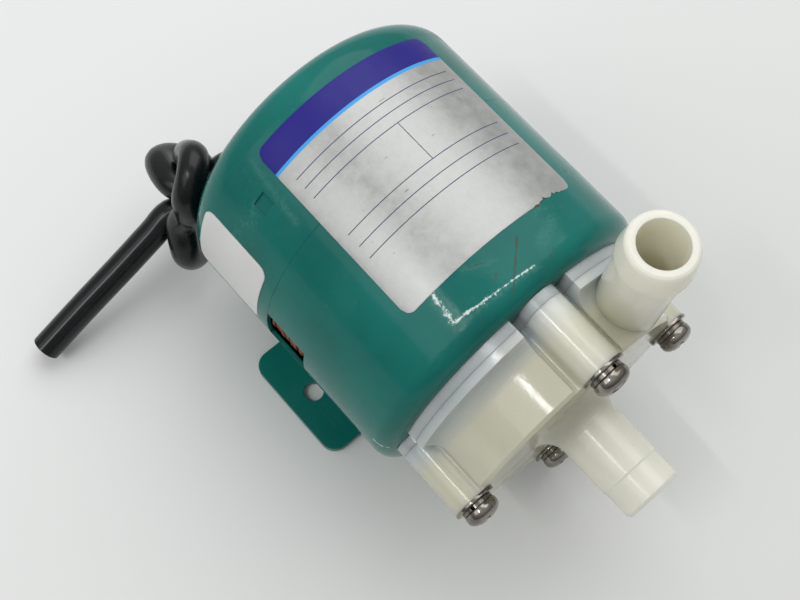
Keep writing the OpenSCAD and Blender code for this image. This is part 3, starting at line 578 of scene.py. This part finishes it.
def green_enamel(name):
    """Gloss and orange peel, hair scratches in three directions, rubbed patches partly painted as
    sheen, painted highlight strokes, chips and rust.
    """
    finish, tree, place = open_finish(name)
    broad = add(tree, "TexNoise", {"Vector": place, "Scale": per_mm(MOTTLE_MM), "Detail": 4.0})
    mottle = add(tree, "MapRange", {"Value": broad, "From Min": 0.35, "From Max": 0.65})
    colour = add(tree, "Mix", {0: mottle, 6: linear("#12655d"), 7: linear("#18756c")}, **COLOURS)
    grit = add(tree, "TexNoise", {"Vector": place, "Scale": per_mm(GRIT_MM),
                                  "Detail": 4.0, "Roughness": 0.7})
    patch = add(tree, "TexNoise", {"Vector": place, "Scale": per_mm(PATCH_MM),
                                   "Detail": 5.0, "Roughness": 0.65})
    flakes = add(tree, "TexNoise", {"Vector": place, "Scale": per_mm(FLAKE_MM),
                                    "Detail": 5.0, "Roughness": 0.7})
    skin = can_skin(tree, place)
    scratch = hair_scratches(tree, place)
    ragged = add(tree, "MapRange", {"Value": grit, "From Min": 0.3, "From Max": 0.7,
                                    "To Min": -0.75, "To Max": 0.55})
    # Hair scratches are pale, and they gather where the can was handled or rubbed
    scattered = add(tree, "MapRange", {"Value": patch, "From Min": 0.56, "From Max": 0.72})
    # Placed strokes: rubbed wear, and painted sheen along a lamp's reflection
    placed_rub_and_sheen = strokes(tree, skin, RUB_AND_SHEEN_MARKS)
    rubbed = add(tree, "Math", {0: scattered, 1: placed_rub_and_sheen}, operation="MAXIMUM")
    handled = add(tree, "MapRange", {"Value": patch, "From Min": 0.48, "From Max": 0.7})
    near = add(tree, "Math", {0: handled, 1: rubbed}, operation="MAXIMUM")
    scratched = add(tree, "Math", {0: scratch, 1: near}, operation="MULTIPLY")
    pale = add(tree, "MapRange", {"Value": scratched, "To Max": 0.13})
    colour = add(tree, "Mix", {0: pale, 6: colour, 7: linear("#7fa79c")}, **COLOURS)
    # Rubbed places turn frosty; where the placed strokes follow a lamp's reflection, the frost is
    # painted sheen
    frosty_and_sheen = add(tree, "Math", {0: rubbed, 1: grit}, operation="MULTIPLY")
    frost_and_sheen = add(tree, "MapRange", {"Value": frosty_and_sheen, "From Min": 0.25, "From Max": 0.7,
                                   "To Max": 0.3})
    colour = add(tree, "Mix", {0: frost_and_sheen, 6: colour, 7: linear("#5f9a90")}, **COLOURS)
    # Painted highlight: bright strokes where lamp light is reflected on the can and its front edge,
    # ragged at their edges and nothing beyond them
    highlight_marked = strokes(tree, skin, PAINTED_HIGHLIGHT_MARKS)
    hairy = add(tree, "Math", {0: scratch, 1: 0.5, 2: ragged}, operation="MULTIPLY_ADD")
    torn = add(tree, "Math", {0: highlight_marked, 1: hairy}, operation="ADD")
    bright = add(tree, "MapRange", {"Value": torn, "From Min": 0.5, "From Max": 1.0, "To Max": 0.9})
    on_mark = add(tree, "MapRange", {"Value": highlight_marked, "From Max": 0.25})
    painted_glint = add(tree, "Math", {0: bright, 1: on_mark}, operation="MULTIPLY")
    colour = add(tree, "Mix", {0: painted_glint, 6: colour, 7: linear("#e3efec")}, **COLOURS)
    # Chips and rust show what is under the enamel
    spread = add(tree, "Math", {0: strokes(tree, skin, RUST_MARKS), 1: ragged}, operation="ADD")
    rust = add(tree, "MapRange", {"Value": spread, "From Min": 0.6, "From Max": 0.9, "To Max": 0.8})
    chip = add(tree, "MapRange", {"Value": flakes, "From Min": 0.73, "From Max": 0.745})
    gone = add(tree, "Math", {0: chip, 1: rust}, operation="MAXIMUM")
    bare = add(tree, "Mix", {0: grit, 6: linear("#2b241d"), 7: linear("#6c5637")}, **COLOURS)
    colour = add(tree, "Mix", {0: gone, 6: colour, 7: bare}, **COLOURS)
    # Wear is rougher than the gloss and sinks below the orange peel
    gloss = add(tree, "MapRange", {"Value": frosty_and_sheen, "From Max": 0.6,
                                   "To Min": 0.13, "To Max": 0.34})
    gloss = add(tree, "Math", {0: gone, 1: 0.4, 2: gloss}, operation="MULTIPLY_ADD")
    soft_edge = add(tree, "Bevel", {"Radius": ENAMEL_EDGE}, samples=4)
    fine = add(tree, "TexNoise", {"Vector": place, "Scale": per_mm(PEEL_MM), "Detail": 2.0})
    peel = add(tree, "Bump", {"Height": fine, "Strength": 0.1, "Distance": 0.05 * MM,
                              "Normal": soft_edge})
    sunk = add(tree, "Math", {0: gone, 1: scratched}, operation="MAXIMUM")
    rough = add(tree, "Math", {0: frosty_and_sheen, 1: 0.8, 2: sunk}, operation="MULTIPLY_ADD")
    worn = add(tree, "Bump", {"Height": rough, "Strength": 0.6, "Distance": 0.06 * MM,
                              "Normal": peel}, invert=True)
    close_finish(tree, Base_Color=colour, Roughness=gloss, Normal=worn, IOR=1.52,
                 Specular_IOR_Level=0.17)
    return finish


enamel = green_enamel("green_stoving_enamel")
print("finish", enamel.name)

# %% [markdown]
# ## Moulded plastics
# The pump head is injection moulded polypropylene without pigment: an ivory,
# slightly see-through plastic with a satin skin. Light goes a few millimetres into
# it, which softens every shade, so the shader gets a little subsurface light. A
# faint flow pattern, fine texture and dusty spots break up the plain colour. Other
# moulded and pressed pieces take the same function with their own values.

# %% Moulded plastics
# Real sizes in mm: flow pattern, dust, fine skin, places touched by hands
FLOW_MM = 22
DUST_MM = 1.6
SKIN_MM = 0.7
TOUCH_MM = 9
MOULD_EDGE = 0.28 * MM
NO_DEPTH = (0.001, 0.001, 0.001)
# The thin flange is painted cooler and the thin-walled spigots paler, as painted light shining
# through them:
# axis, where the tone begins and where it is full in mm, the tone
CASING_PAINTED_LIGHT_ZONES = (("Y", FRONT_Y - 9.0, FRONT_Y - 4.5, "#bdc4c3"),
                ("Y", FRONT_Y - 20.0, FRONT_Y - 27.0, "#efecdb"), ("Z", 68.0, 80.0, "#efecdb"))


def moulded(name, deep, pale, rough, spots="#8c8672", glow=0.0, depth=NO_DEPTH, zones=()):
    """Slow colour drift, stretches painted another tone as light through thin walls, dusty specks,
    fine skin and softened edges.
    """
    finish, tree, place = open_finish(name)
    drift = add(tree, "TexNoise", {"Vector": place, "Scale": per_mm(FLOW_MM), "Detail": 3.0,
                                   "Distortion": 0.6})
    flow = add(tree, "MapRange", {"Value": drift, "From Min": 0.3, "From Max": 0.7})
    colour = add(tree, "Mix", {0: flow, 6: linear(deep), 7: linear(pale)}, **COLOURS)
    at = add(tree, "SeparateXYZ", {"Vector": place}).node.outputs
    # Painted light: each listed stretch takes a tone that stands in for light through the thin
    # plastic
    for axis, none_mm, full_mm, tone in zones:
        zone = add(tree, "MapRange", {"Value": at[axis], "From Min": none_mm * MM,
                                      "From Max": full_mm * MM})
        colour = add(tree, "Mix", {0: zone, 6: colour, 7: linear(tone)}, **COLOURS)
    dust = add(tree, "TexNoise", {"Vector": place, "Scale": per_mm(DUST_MM), "Detail": 6.0,
                                  "Roughness": 0.75})
    speck = add(tree, "MapRange", {"Value": dust, "From Min": 0.66, "From Max": 0.76,
                                   "To Max": 0.4})
    colour = add(tree, "Mix", {0: speck, 6: colour, 7: linear(spots)}, **COLOURS)
    skin = add(tree, "TexNoise", {"Vector": place, "Scale": per_mm(SKIN_MM), "Detail": 3.0})
    touched = add(tree, "TexNoise", {"Vector": place, "Scale": per_mm(TOUCH_MM), "Detail": 5.0})
    gloss = add(tree, "MapRange", {"Value": touched, "From Min": 0.3, "From Max": 0.7,
                                   "To Min": rough - 0.07, "To Max": rough + 0.1})
    soft_edge = add(tree, "Bevel", {"Radius": MOULD_EDGE}, samples=4)
    grain = add(tree, "Bump", {"Height": skin, "Strength": 0.55, "Distance": 0.05 * MM,
                               "Normal": soft_edge})
    wave = add(tree, "Bump", {"Height": touched, "Strength": 0.12, "Distance": 0.25 * MM,
                              "Normal": grain})
    close_finish(tree, Base_Color=colour, Roughness=gloss, Normal=wave, IOR=1.49,
                 Subsurface_Weight=glow, Subsurface_Radius=depth, Subsurface_Scale=1.0)
    return finish


# Unpigmented and thick: warm ivory with a soft inner light
ivory = moulded("natural_polypropylene", "#c5c3ad", "#d1cfbb", 0.14, glow=0.6,
                depth=(0.006, 0.0055, 0.0045), zones=CASING_PAINTED_LIGHT_ZONES)
# The bracket ring's plastic: cooler and milkier
milky = moulded("bluish_white_polypropylene", "#adb5b4", "#bbc2c2", 0.2, glow=0.6,
                depth=(0.006, 0.006, 0.006))
# The impeller and its cap: whiter, with a matt skin
wet_plastic = moulded("unfilled_polypropylene", "#dcdbd3", "#e4e3dc", 0.4, "#b9b6a8", glow=0.3,
                      depth=(0.003, 0.003, 0.002))
# The thermal protector's case: near black and satin
black_plastic = moulded("black_polyamide", "#17181a", "#202224", 0.42, "#3c3c3a")
print("finish", ivory.name, milky.name, wet_plastic.name, black_plastic.name)

# %% [markdown]
# ## Rubber and the cord's sheath
# The cord is extruded soft PVC: near black, half glossy and a little dusty, with
# faint lines and one raised seam along its length from the die. The seam is painted
# pale along the lit side as a painted highlight. The lines follow the cord, so they
# are drawn on its own map, whose first number is the run in millimetres and whose
# second goes once round the section. The seals are plainer moulded rubber.

# %% Cord sheath and seals
SHEATH_DUST_MM = 3.0
# The seam's place and half width as shares of a turn; it lies on the lit side and is painted pale
# as a highlight
SEAM_HIGHLIGHT_TURN = 0.067
SEAM_HIGHLIGHT_HALF = 0.013
DIE_LINES = (0.02, 34.0, 1.0)


def cord_sheath(name):
    """Die lines and one raised seam along the run with a painted highlight on it, and dust, on a
    near-black half gloss.
    """
    finish, tree, place = open_finish(name)
    run = add(tree, "UVMap", uv_map="sheet")
    lines = add(tree, "Mapping", {"Vector": run, "Scale": DIE_LINES})
    die = add(tree, "TexNoise", {"Vector": lines, "Scale": 2.0, "Detail": 2.0})
    dust = add(tree, "TexNoise", {"Vector": place, "Scale": per_mm(SHEATH_DUST_MM), "Detail": 6.0,
                                  "Roughness": 0.7})
    dusty = add(tree, "MapRange", {"Value": dust, "From Min": 0.5, "From Max": 0.8, "To Max": 0.3})
    colour = add(tree, "Mix", {0: dusty, 6: linear("#0b0c0e"), 7: linear("#232427")}, **COLOURS)
    turn = add(tree, "SeparateXYZ", {"Vector": run}, out="Y")
    off = add(tree, "Math", {0: turn, 1: SEAM_HIGHLIGHT_TURN}, operation="SUBTRACT")
    aside = add(tree, "Math", {0: off}, operation="ABSOLUTE")
    seam = add(tree, "MapRange", {"Value": aside, "From Max": SEAM_HIGHLIGHT_HALF,
                                  "To Min": 1.0, "To Max": 0.0})
    # Painted highlight: the seam is painted pale, standing in for the lamp's reflection along the
    # cord
    colour = add(tree, "Mix", {0: seam, 6: colour, 7: linear("#6b6c70")}, **COLOURS)
    raised = add(tree, "Math", {0: seam, 1: 2.0, 2: die}, operation="MULTIPLY_ADD")
    ridge = add(tree, "Bump", {"Height": raised, "Strength": 0.25, "Distance": 0.06 * MM})
    gloss = add(tree, "MapRange", {"Value": dust, "From Min": 0.3, "From Max": 0.7,
                                   "To Min": 0.18, "To Max": 0.32})
    close_finish(tree, Base_Color=colour, Roughness=gloss, Normal=ridge, IOR=1.5,
                 Specular_IOR_Level=0.35)
    return finish


sheath = cord_sheath("extruded_soft_pvc")
# Black and matt, without any gloss lines
seal = moulded("moulded_seal_rubber", "#161616", "#1f1f1f", 0.55, "#2c2c2c")
print("finish", sheath.name, seal.name)

# %% [markdown]
# ## Metals
# Nickel plate, spring steel, plain steel, stacked laminations, cast aluminium,
# bronze and copper differ in colour, in how rough they are and in the grain the
# tool left. One function lays a grain that may be stretched along one axis, with
# tarnish in slow patches, so each metal only names its own values.

# %% Metals
TARNISH_MM = 5
PLAIN_GRAIN = (1, 1, 1)
TURNED_GRAIN = (1, 30, 1)
STACKED_GRAIN = (0.05, 1, 0.05)


def metal(name, colour, tarnish, rough, grain_mm, stretch=PLAIN_GRAIN, dulled=0.35):
    """Tool grain stretched by three factors, and slow tarnish up to a share of the colour."""
    finish, tree, place = open_finish(name)
    slow = add(tree, "TexNoise", {"Vector": place, "Scale": per_mm(TARNISH_MM), "Detail": 5.0,
                                  "Roughness": 0.65})
    dull = add(tree, "MapRange", {"Value": slow, "From Min": 0.4, "From Max": 0.75,
                                  "To Max": dulled})
    tone = add(tree, "Mix", {0: dull, 6: linear(colour), 7: linear(tarnish)}, **COLOURS)
    laid = add(tree, "Mapping", {"Vector": place, "Scale": stretch})
    grain = add(tree, "TexNoise", {"Vector": laid, "Scale": per_mm(grain_mm), "Detail": 3.0})
    uneven = add(tree, "Math", {0: grain, 1: slow}, operation="ADD")
    gloss = add(tree, "MapRange", {"Value": uneven, "From Min": 0.7, "From Max": 1.3,
                                   "To Min": rough - 0.08, "To Max": rough + 0.12})
    bump = add(tree, "Bump", {"Height": grain, "Strength": 0.15, "Distance": 0.03 * MM})
    close_finish(tree, Base_Color=tone, Roughness=gloss, Normal=bump, Metallic=1.0)
    return finish


# Barrel plated: sharp highlights, brown where the plating has dulled
nickel = metal("nickel_plated_steel", "#98938b", "#332d27", 0.13, 0.5, dulled=0.75)
# Greyer and duller than the screws
spring_steel = metal("zinc_plated_spring_steel", "#7d7971", "#2c2822", 0.24, 0.4)
# Turned: fine rings round the shaft
plain_steel = metal("turned_bright_steel", "#b4b2ad", "#77716a", 0.28, 0.4, TURNED_GRAIN)
# Stamped sheets on edge: fine dark lines between them
laminations = metal("stacked_electrical_steel", "#7f7d7a", "#4a423b", 0.5, 0.5, STACKED_GRAIN, 0.5)
# As cast: pale, even and half matt
aluminium = metal("die_cast_aluminium", "#b9bbbd", "#85878a", 0.45, 0.7)
# Pressed powder: brownish yellow with a fine open grain
bronze = metal("sintered_bronze", "#a97f4c", "#6b4a2b", 0.4, 0.3)
# Drawn wire at the cord's cut end: reddish and bright
copper = metal("bare_copper", "#b8714d", "#6f3f2b", 0.32, 0.3)
METALS = (nickel, spring_steel, plain_steel, laminations, aluminium, bronze, copper)
print("finish", *[made.name for made in METALS])

# %% [markdown]
# ## Winding varnish, ceramic, carbon and ferrite
# The winding is copper wire under a brown baked varnish, and gets a finish of its
# own. The spindle is a polished alumina ceramic, the bush moulded carbon and the
# magnets ground ferrite: these are hidden, and take the moulded function.

# %% Varnish and ceramics
VARNISH_MM = 2.2
WIRE_MM = 0.3
WIRE_STRETCH = (0.1, 1, 0.1)


def winding_varnish(name):
    """Brown varnish over copper: drifting colour and gloss, and fine stripes of single wires."""
    finish, tree, place = open_finish(name)
    slow = add(tree, "TexNoise", {"Vector": place, "Scale": per_mm(VARNISH_MM), "Detail": 4.0})
    drift = add(tree, "MapRange", {"Value": slow, "From Min": 0.3, "From Max": 0.7})
    colour = add(tree, "Mix", {0: drift, 6: linear("#5a230c"), 7: linear("#9c4314")}, **COLOURS)
    wires = add(tree, "Mapping", {"Vector": place, "Scale": WIRE_STRETCH})
    stripe = add(tree, "TexNoise", {"Vector": wires, "Scale": per_mm(WIRE_MM), "Detail": 1.0})
    bump = add(tree, "Bump", {"Height": stripe, "Strength": 0.4, "Distance": 0.08 * MM})
    gloss = add(tree, "MapRange", {"Value": slow, "To Min": 0.3, "To Max": 0.55})
    close_finish(tree, Base_Color=colour, Roughness=gloss, Normal=bump, IOR=1.5,
                 Specular_IOR_Level=0.2, Coat_Weight=0.1, Coat_Roughness=0.2)
    return finish


varnish = winding_varnish("varnished_copper_wire")
# Ground and polished: white with a clear highlight
ceramic = moulded("polished_alumina", "#e3e1da", "#ecebe6", 0.2, "#c9c7c0", glow=0.15)
# Pressed and baked: dark grey and matt
carbon = moulded("moulded_carbon", "#242527", "#323335", 0.5, "#45464a")
# Ground: dark grey with paler grit
ferrite = moulded("ground_ferrite", "#2b2a2c", "#3a393b", 0.45, "#55524f")
print("finish", varnish.name, ceramic.name, carbon.name, ferrite.name)

# %% [markdown]
# ## Printed foil and paper
# The name plate is aluminium foil with a plain print: a dark band and a thin pale
# stripe at its rear edge, and fine ruled lines for a form that nobody filled in.
# The prints are drawn on the sheet's own map in millimetres. The foil is crumpled
# a little by the glue under it and has short dark scratches.

# %% Name plate foil
PLATE_LONG = round(PLATE_S[1] - PLATE_S[0], 1)
PLATE_ROUND = round(math.radians(PLATE_ANGLES[1] - PLATE_ANGLES[0]) * SHELL_R, 1)
# All in mm from the plate's rear edge, with half widths where there are two numbers
BAND_END = 6.4
STRIPE = (6.75, 0.4)
RULES = (10.6, 13.2, 16.0, 26.6, 29.9, 33.1)
RULE_FULL = 0.06
RULE_NONE = 0.13
RULE_MARGIN = 2.6
# One rule runs along the can: its place and half width round it, and its reach along it
LONG_RULE = (0.53 * PLATE_ROUND, 0.09)
LONG_REACH = (21.3, 5.3)
FOIL_MOTTLE_MM = 3.2
FOIL_HAIR_MM = 7
CRUMPLE_MM = 1.4


def ruled_lines(tree, u, v):
    """Cross rules between the margins, and one rule along the can between two of them."""
    lines = []
    for place in RULES:
        off = add(tree, "Math", {0: u, 1: place}, operation="SUBTRACT")
        gap = add(tree, "Math", {0: off}, operation="ABSOLUTE")
        lines.append(add(tree, "MapRange", {"Value": gap, "From Min": RULE_FULL,
                                            "From Max": RULE_NONE, "To Min": 1.0, "To Max": 0.0}))
    half = 0.5 * PLATE_ROUND
    inside = add(tree, "Math", {0: v, 1: half, 2: half - RULE_MARGIN}, operation="COMPARE")
    across = add(tree, "Math", {0: strongest(tree, lines), 1: inside}, operation="MULTIPLY")
    middle = add(tree, "Math", {0: v, 1: LONG_RULE[0], 2: LONG_RULE[1]}, operation="COMPARE")
    between = add(tree, "Math", {0: u, 1: LONG_REACH[0], 2: LONG_REACH[1]}, operation="COMPARE")
    return add(tree, "Math", {0: middle, 1: between, 2: across}, operation="MULTIPLY_ADD")


def printed_foil(name):
    """Foil with rules, stripe and band; u counts from the rear edge and v round the can, in mm."""
    finish, tree, place = open_finish(name)
    sheet = add(tree, "UVMap", uv_map="sheet")
    at = add(tree, "SeparateXYZ", {"Vector": sheet}).node.outputs
    u = add(tree, "MapRange", {"Value": at["X"], "To Min": PLATE_LONG, "To Max": 0.0})
    v = add(tree, "MapRange", {"Value": at["Y"], "To Min": PLATE_ROUND, "To Max": 0.0})
    cloud = add(tree, "TexNoise", {"Vector": place, "Scale": per_mm(FOIL_MOTTLE_MM), "Detail": 6.0,
                                   "Roughness": 0.7})
    mottle = add(tree, "MapRange", {"Value": cloud, "From Min": 0.35, "From Max": 0.65})
    colour = add(tree, "Mix", {0: mottle, 6: linear("#a8a9a7"), 7: linear("#b9bab7")}, **COLOURS)
    inked = ruled_lines(tree, u, v)
    stripe = add(tree, "Math", {0: u, 1: STRIPE[0], 2: STRIPE[1]}, operation="COMPARE")
    band = add(tree, "Math", {0: u, 1: BAND_END}, operation="LESS_THAN")
    for mask, ink in ((inked, "#2e2e60"), (stripe, "#3fa3ea"), (band, "#1d1480")):
        colour = add(tree, "Mix", {0: mask, 6: colour, 7: linear(ink)}, **COLOURS)
    printed = strongest(tree, [inked, stripe, band])
    metallic = add(tree, "MapRange", {"Value": printed, "To Min": 0.6, "To Max": 0.0})
    laid = add(tree, "Mapping", {"Vector": place, "Rotation": (0.3, 0.5, 0.9), "Scale": (1, 9, 9)})
    hair = add(tree, "TexNoise", {"Vector": laid, "Scale": per_mm(FOIL_HAIR_MM), "Detail": 2.0})
    short = add(tree, "MapRange", {"Value": hair, "From Min": 0.745, "From Max": 0.775})
    faint = add(tree, "Math", {0: short, 1: 0.6}, operation="MULTIPLY")
    colour = add(tree, "Mix", {0: faint, 6: colour, 7: linear("#3a3a3e")}, **COLOURS)
    gloss = add(tree, "MapRange", {"Value": cloud, "From Min": 0.3, "From Max": 0.7,
                                   "To Min": 0.33, "To Max": 0.5})
    crumple = add(tree, "TexNoise", {"Vector": place, "Scale": per_mm(CRUMPLE_MM), "Detail": 3.0})
    bump = add(tree, "Bump", {"Height": crumple, "Strength": 0.35, "Distance": 0.06 * MM})
    close_finish(tree, Base_Color=colour, Metallic=metallic, Roughness=gloss, Normal=bump, IOR=1.5,
                 Specular_IOR_Level=0.3)
    return finish


foil = printed_foil("printed_aluminium_foil")
# Smooth white coat over paper, greyed by dust
paper = moulded("coated_paper", "#d9d9d6", "#e4e4e1", 0.5, "#9b988f")
print("finish", foil.name, paper.name, "on a plate of", PLATE_LONG, "by", PLATE_ROUND, "mm")

# %% [markdown]
# ## Which finish goes where
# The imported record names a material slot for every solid, so the solids take their
# finish by that name, and the new pieces are named one by one.

# %% Dress every piece
BY_SLOT = {
    "casing_plastic": ivory, "bracket_plastic": milky, "impeller_plastic": wet_plastic,
    "seal_rubber": seal, "cord_rubber": seal, "black_plastic": black_plastic, "ceramic": ceramic,
    "carbon": carbon, "ferrite": ferrite, "nickel_plate": nickel, "spring_steel": spring_steel,
    "plain_steel": plain_steel, "lamination_steel": laminations, "cast_aluminium": aluminium,
    "bronze": bronze, "green_enamel": enamel, "varnished_copper": varnish, "bare_copper": copper,
}
BY_PIECE = (
    (power_cord, sheath), (name_plate, foil), (paper_sticker, paper), (screws, nickel),
    (spring_piece, spring_steel), (flat_piece, nickel), (winding, varnish))


def dress(obj, finish):
    """The finish takes the place of whatever the mesh carried."""
    obj.data.materials.clear()
    obj.data.materials.append(finish)


for row in frame["record"]["subparts"]:
    dress(nodes[row["node"]], BY_SLOT[row["material_slot"]])
for piece, finish in BY_PIECE:
    dress(piece, finish)

# %% [markdown]
# ## A plain studio
# The pump stood on a white sheet under a ceiling panel and a tube lamp, beside a
# window, in a room that was brighter behind it than in front. A picture of a room
# could light it, but a world whose level depends only on the direction does the same
# and needs no file. The sheet is a flat board a little under the foot, painted
# slightly darker towards the front as painted shade of the room's light.

# %% Studio floor
FLOOR_HALF = 1.5
FLOOR_POINTS = 9
FLOOR_Z = -0.0002
FLOOR_CLOUD_MM = 160
FLOOR_LIGHT_FADE = 0.12
edge = np.linspace(-FLOOR_HALF, FLOOR_HALF, FLOOR_POINTS)
fx, fy = np.meshgrid(edge, edge, indexing="ij")
floor_points = np.stack([fx, fy, np.full_like(fx, FLOOR_Z)], axis=-1).reshape(-1, 3)
floor_faces = grid_faces(FLOOR_POINTS, FLOOR_POINTS)[:, ::-1]
floor_mesh = bpy.data.meshes.new("studio_floor")
floor_mesh.from_pydata(floor_points.tolist(), [], floor_faces.tolist())
floor = bpy.data.objects.new("studio_floor", floor_mesh)
bpy.context.scene.collection.objects.link(floor)
board, tree, place = open_finish("matt_studio_board")
cloud = add(tree, "TexNoise", {"Vector": place, "Scale": per_mm(FLOOR_CLOUD_MM), "Detail": 3.0})
tint = add(tree, "Mix", {0: cloud, 6: linear("#dadbd8"), 7: linear("#e0e1de")}, **COLOURS)
# Painted shade: the board is darker towards the front and lighter towards the back, following the
# room's light
back = add(tree, "SeparateXYZ", {"Vector": place}, out="Y")
painted_light_fade = add(tree, "MapRange", {"Value": back, "From Min": -FLOOR_LIGHT_FADE, "From Max": FLOOR_LIGHT_FADE})
tint = add(tree, "Mix", {0: painted_light_fade, 6: tint, 7: linear("#e8e9e8")}, **COLOURS)
close_finish(tree, Base_Color=tint, Roughness=0.6)
floor_mesh.materials.append(board)
print("floor", 2 * FLOOR_HALF, "m wide")

# %% Studio light
ROOM_WAY = (0.14, 0.3, 0.94)
LAMP_AIM = Vector((0.0, 0.0, 0.03))
# Name, place in m, the two sides in m, power in W
LAMPS = (("ceiling_panel", (0.42, 0.28, 0.82), 0.9, 0.9, 4.0),
         ("ceiling_tube", (-0.48, 0.07, 0.82), 0.26, 0.012, 0.9),
         ("left_window", (-0.72, 0.2, 0.75), 0.6, 0.6, 1.4))
world = bpy.data.worlds.new("soft_room")
bpy.context.scene.world = world
world.use_nodes = True
room = world.node_tree
room.nodes.clear()
way = add(room, "TexCoord", out="Generated")
towards = add(room, "VectorMath", {0: way, 1: ROOM_WAY}, out="Value", operation="DOT_PRODUCT")
level = add(room, "MapRange", {"Value": towards, "From Min": -0.3, "From Max": 0.95,
                               "To Min": 0.15, "To Max": 0.76})
sky = add(room, "Background", {"Color": linear("#f4f5f6"), "Strength": level})
add(room, "OutputWorld", {"Surface": sky})
for name, spot, size_x, size_y, power in LAMPS:
    lamp = bpy.data.lights.new(name, "AREA")
    lamp.shape = "RECTANGLE"
    lamp.size = size_x
    lamp.size_y = size_y
    lamp.energy = power
    lamp_object = bpy.data.objects.new(name, lamp)
    aimed = (LAMP_AIM - Vector(spot)).to_track_quat("-Z", "Y").to_matrix().to_4x4()
    lamp_object.matrix_world = Matrix.Translation(spot) @ aimed
    bpy.context.scene.collection.objects.link(lamp_object)
bpy.context.scene.view_settings.view_transform = "Standard"
print("studio lit by", len(LAMPS), "lamps and the room")
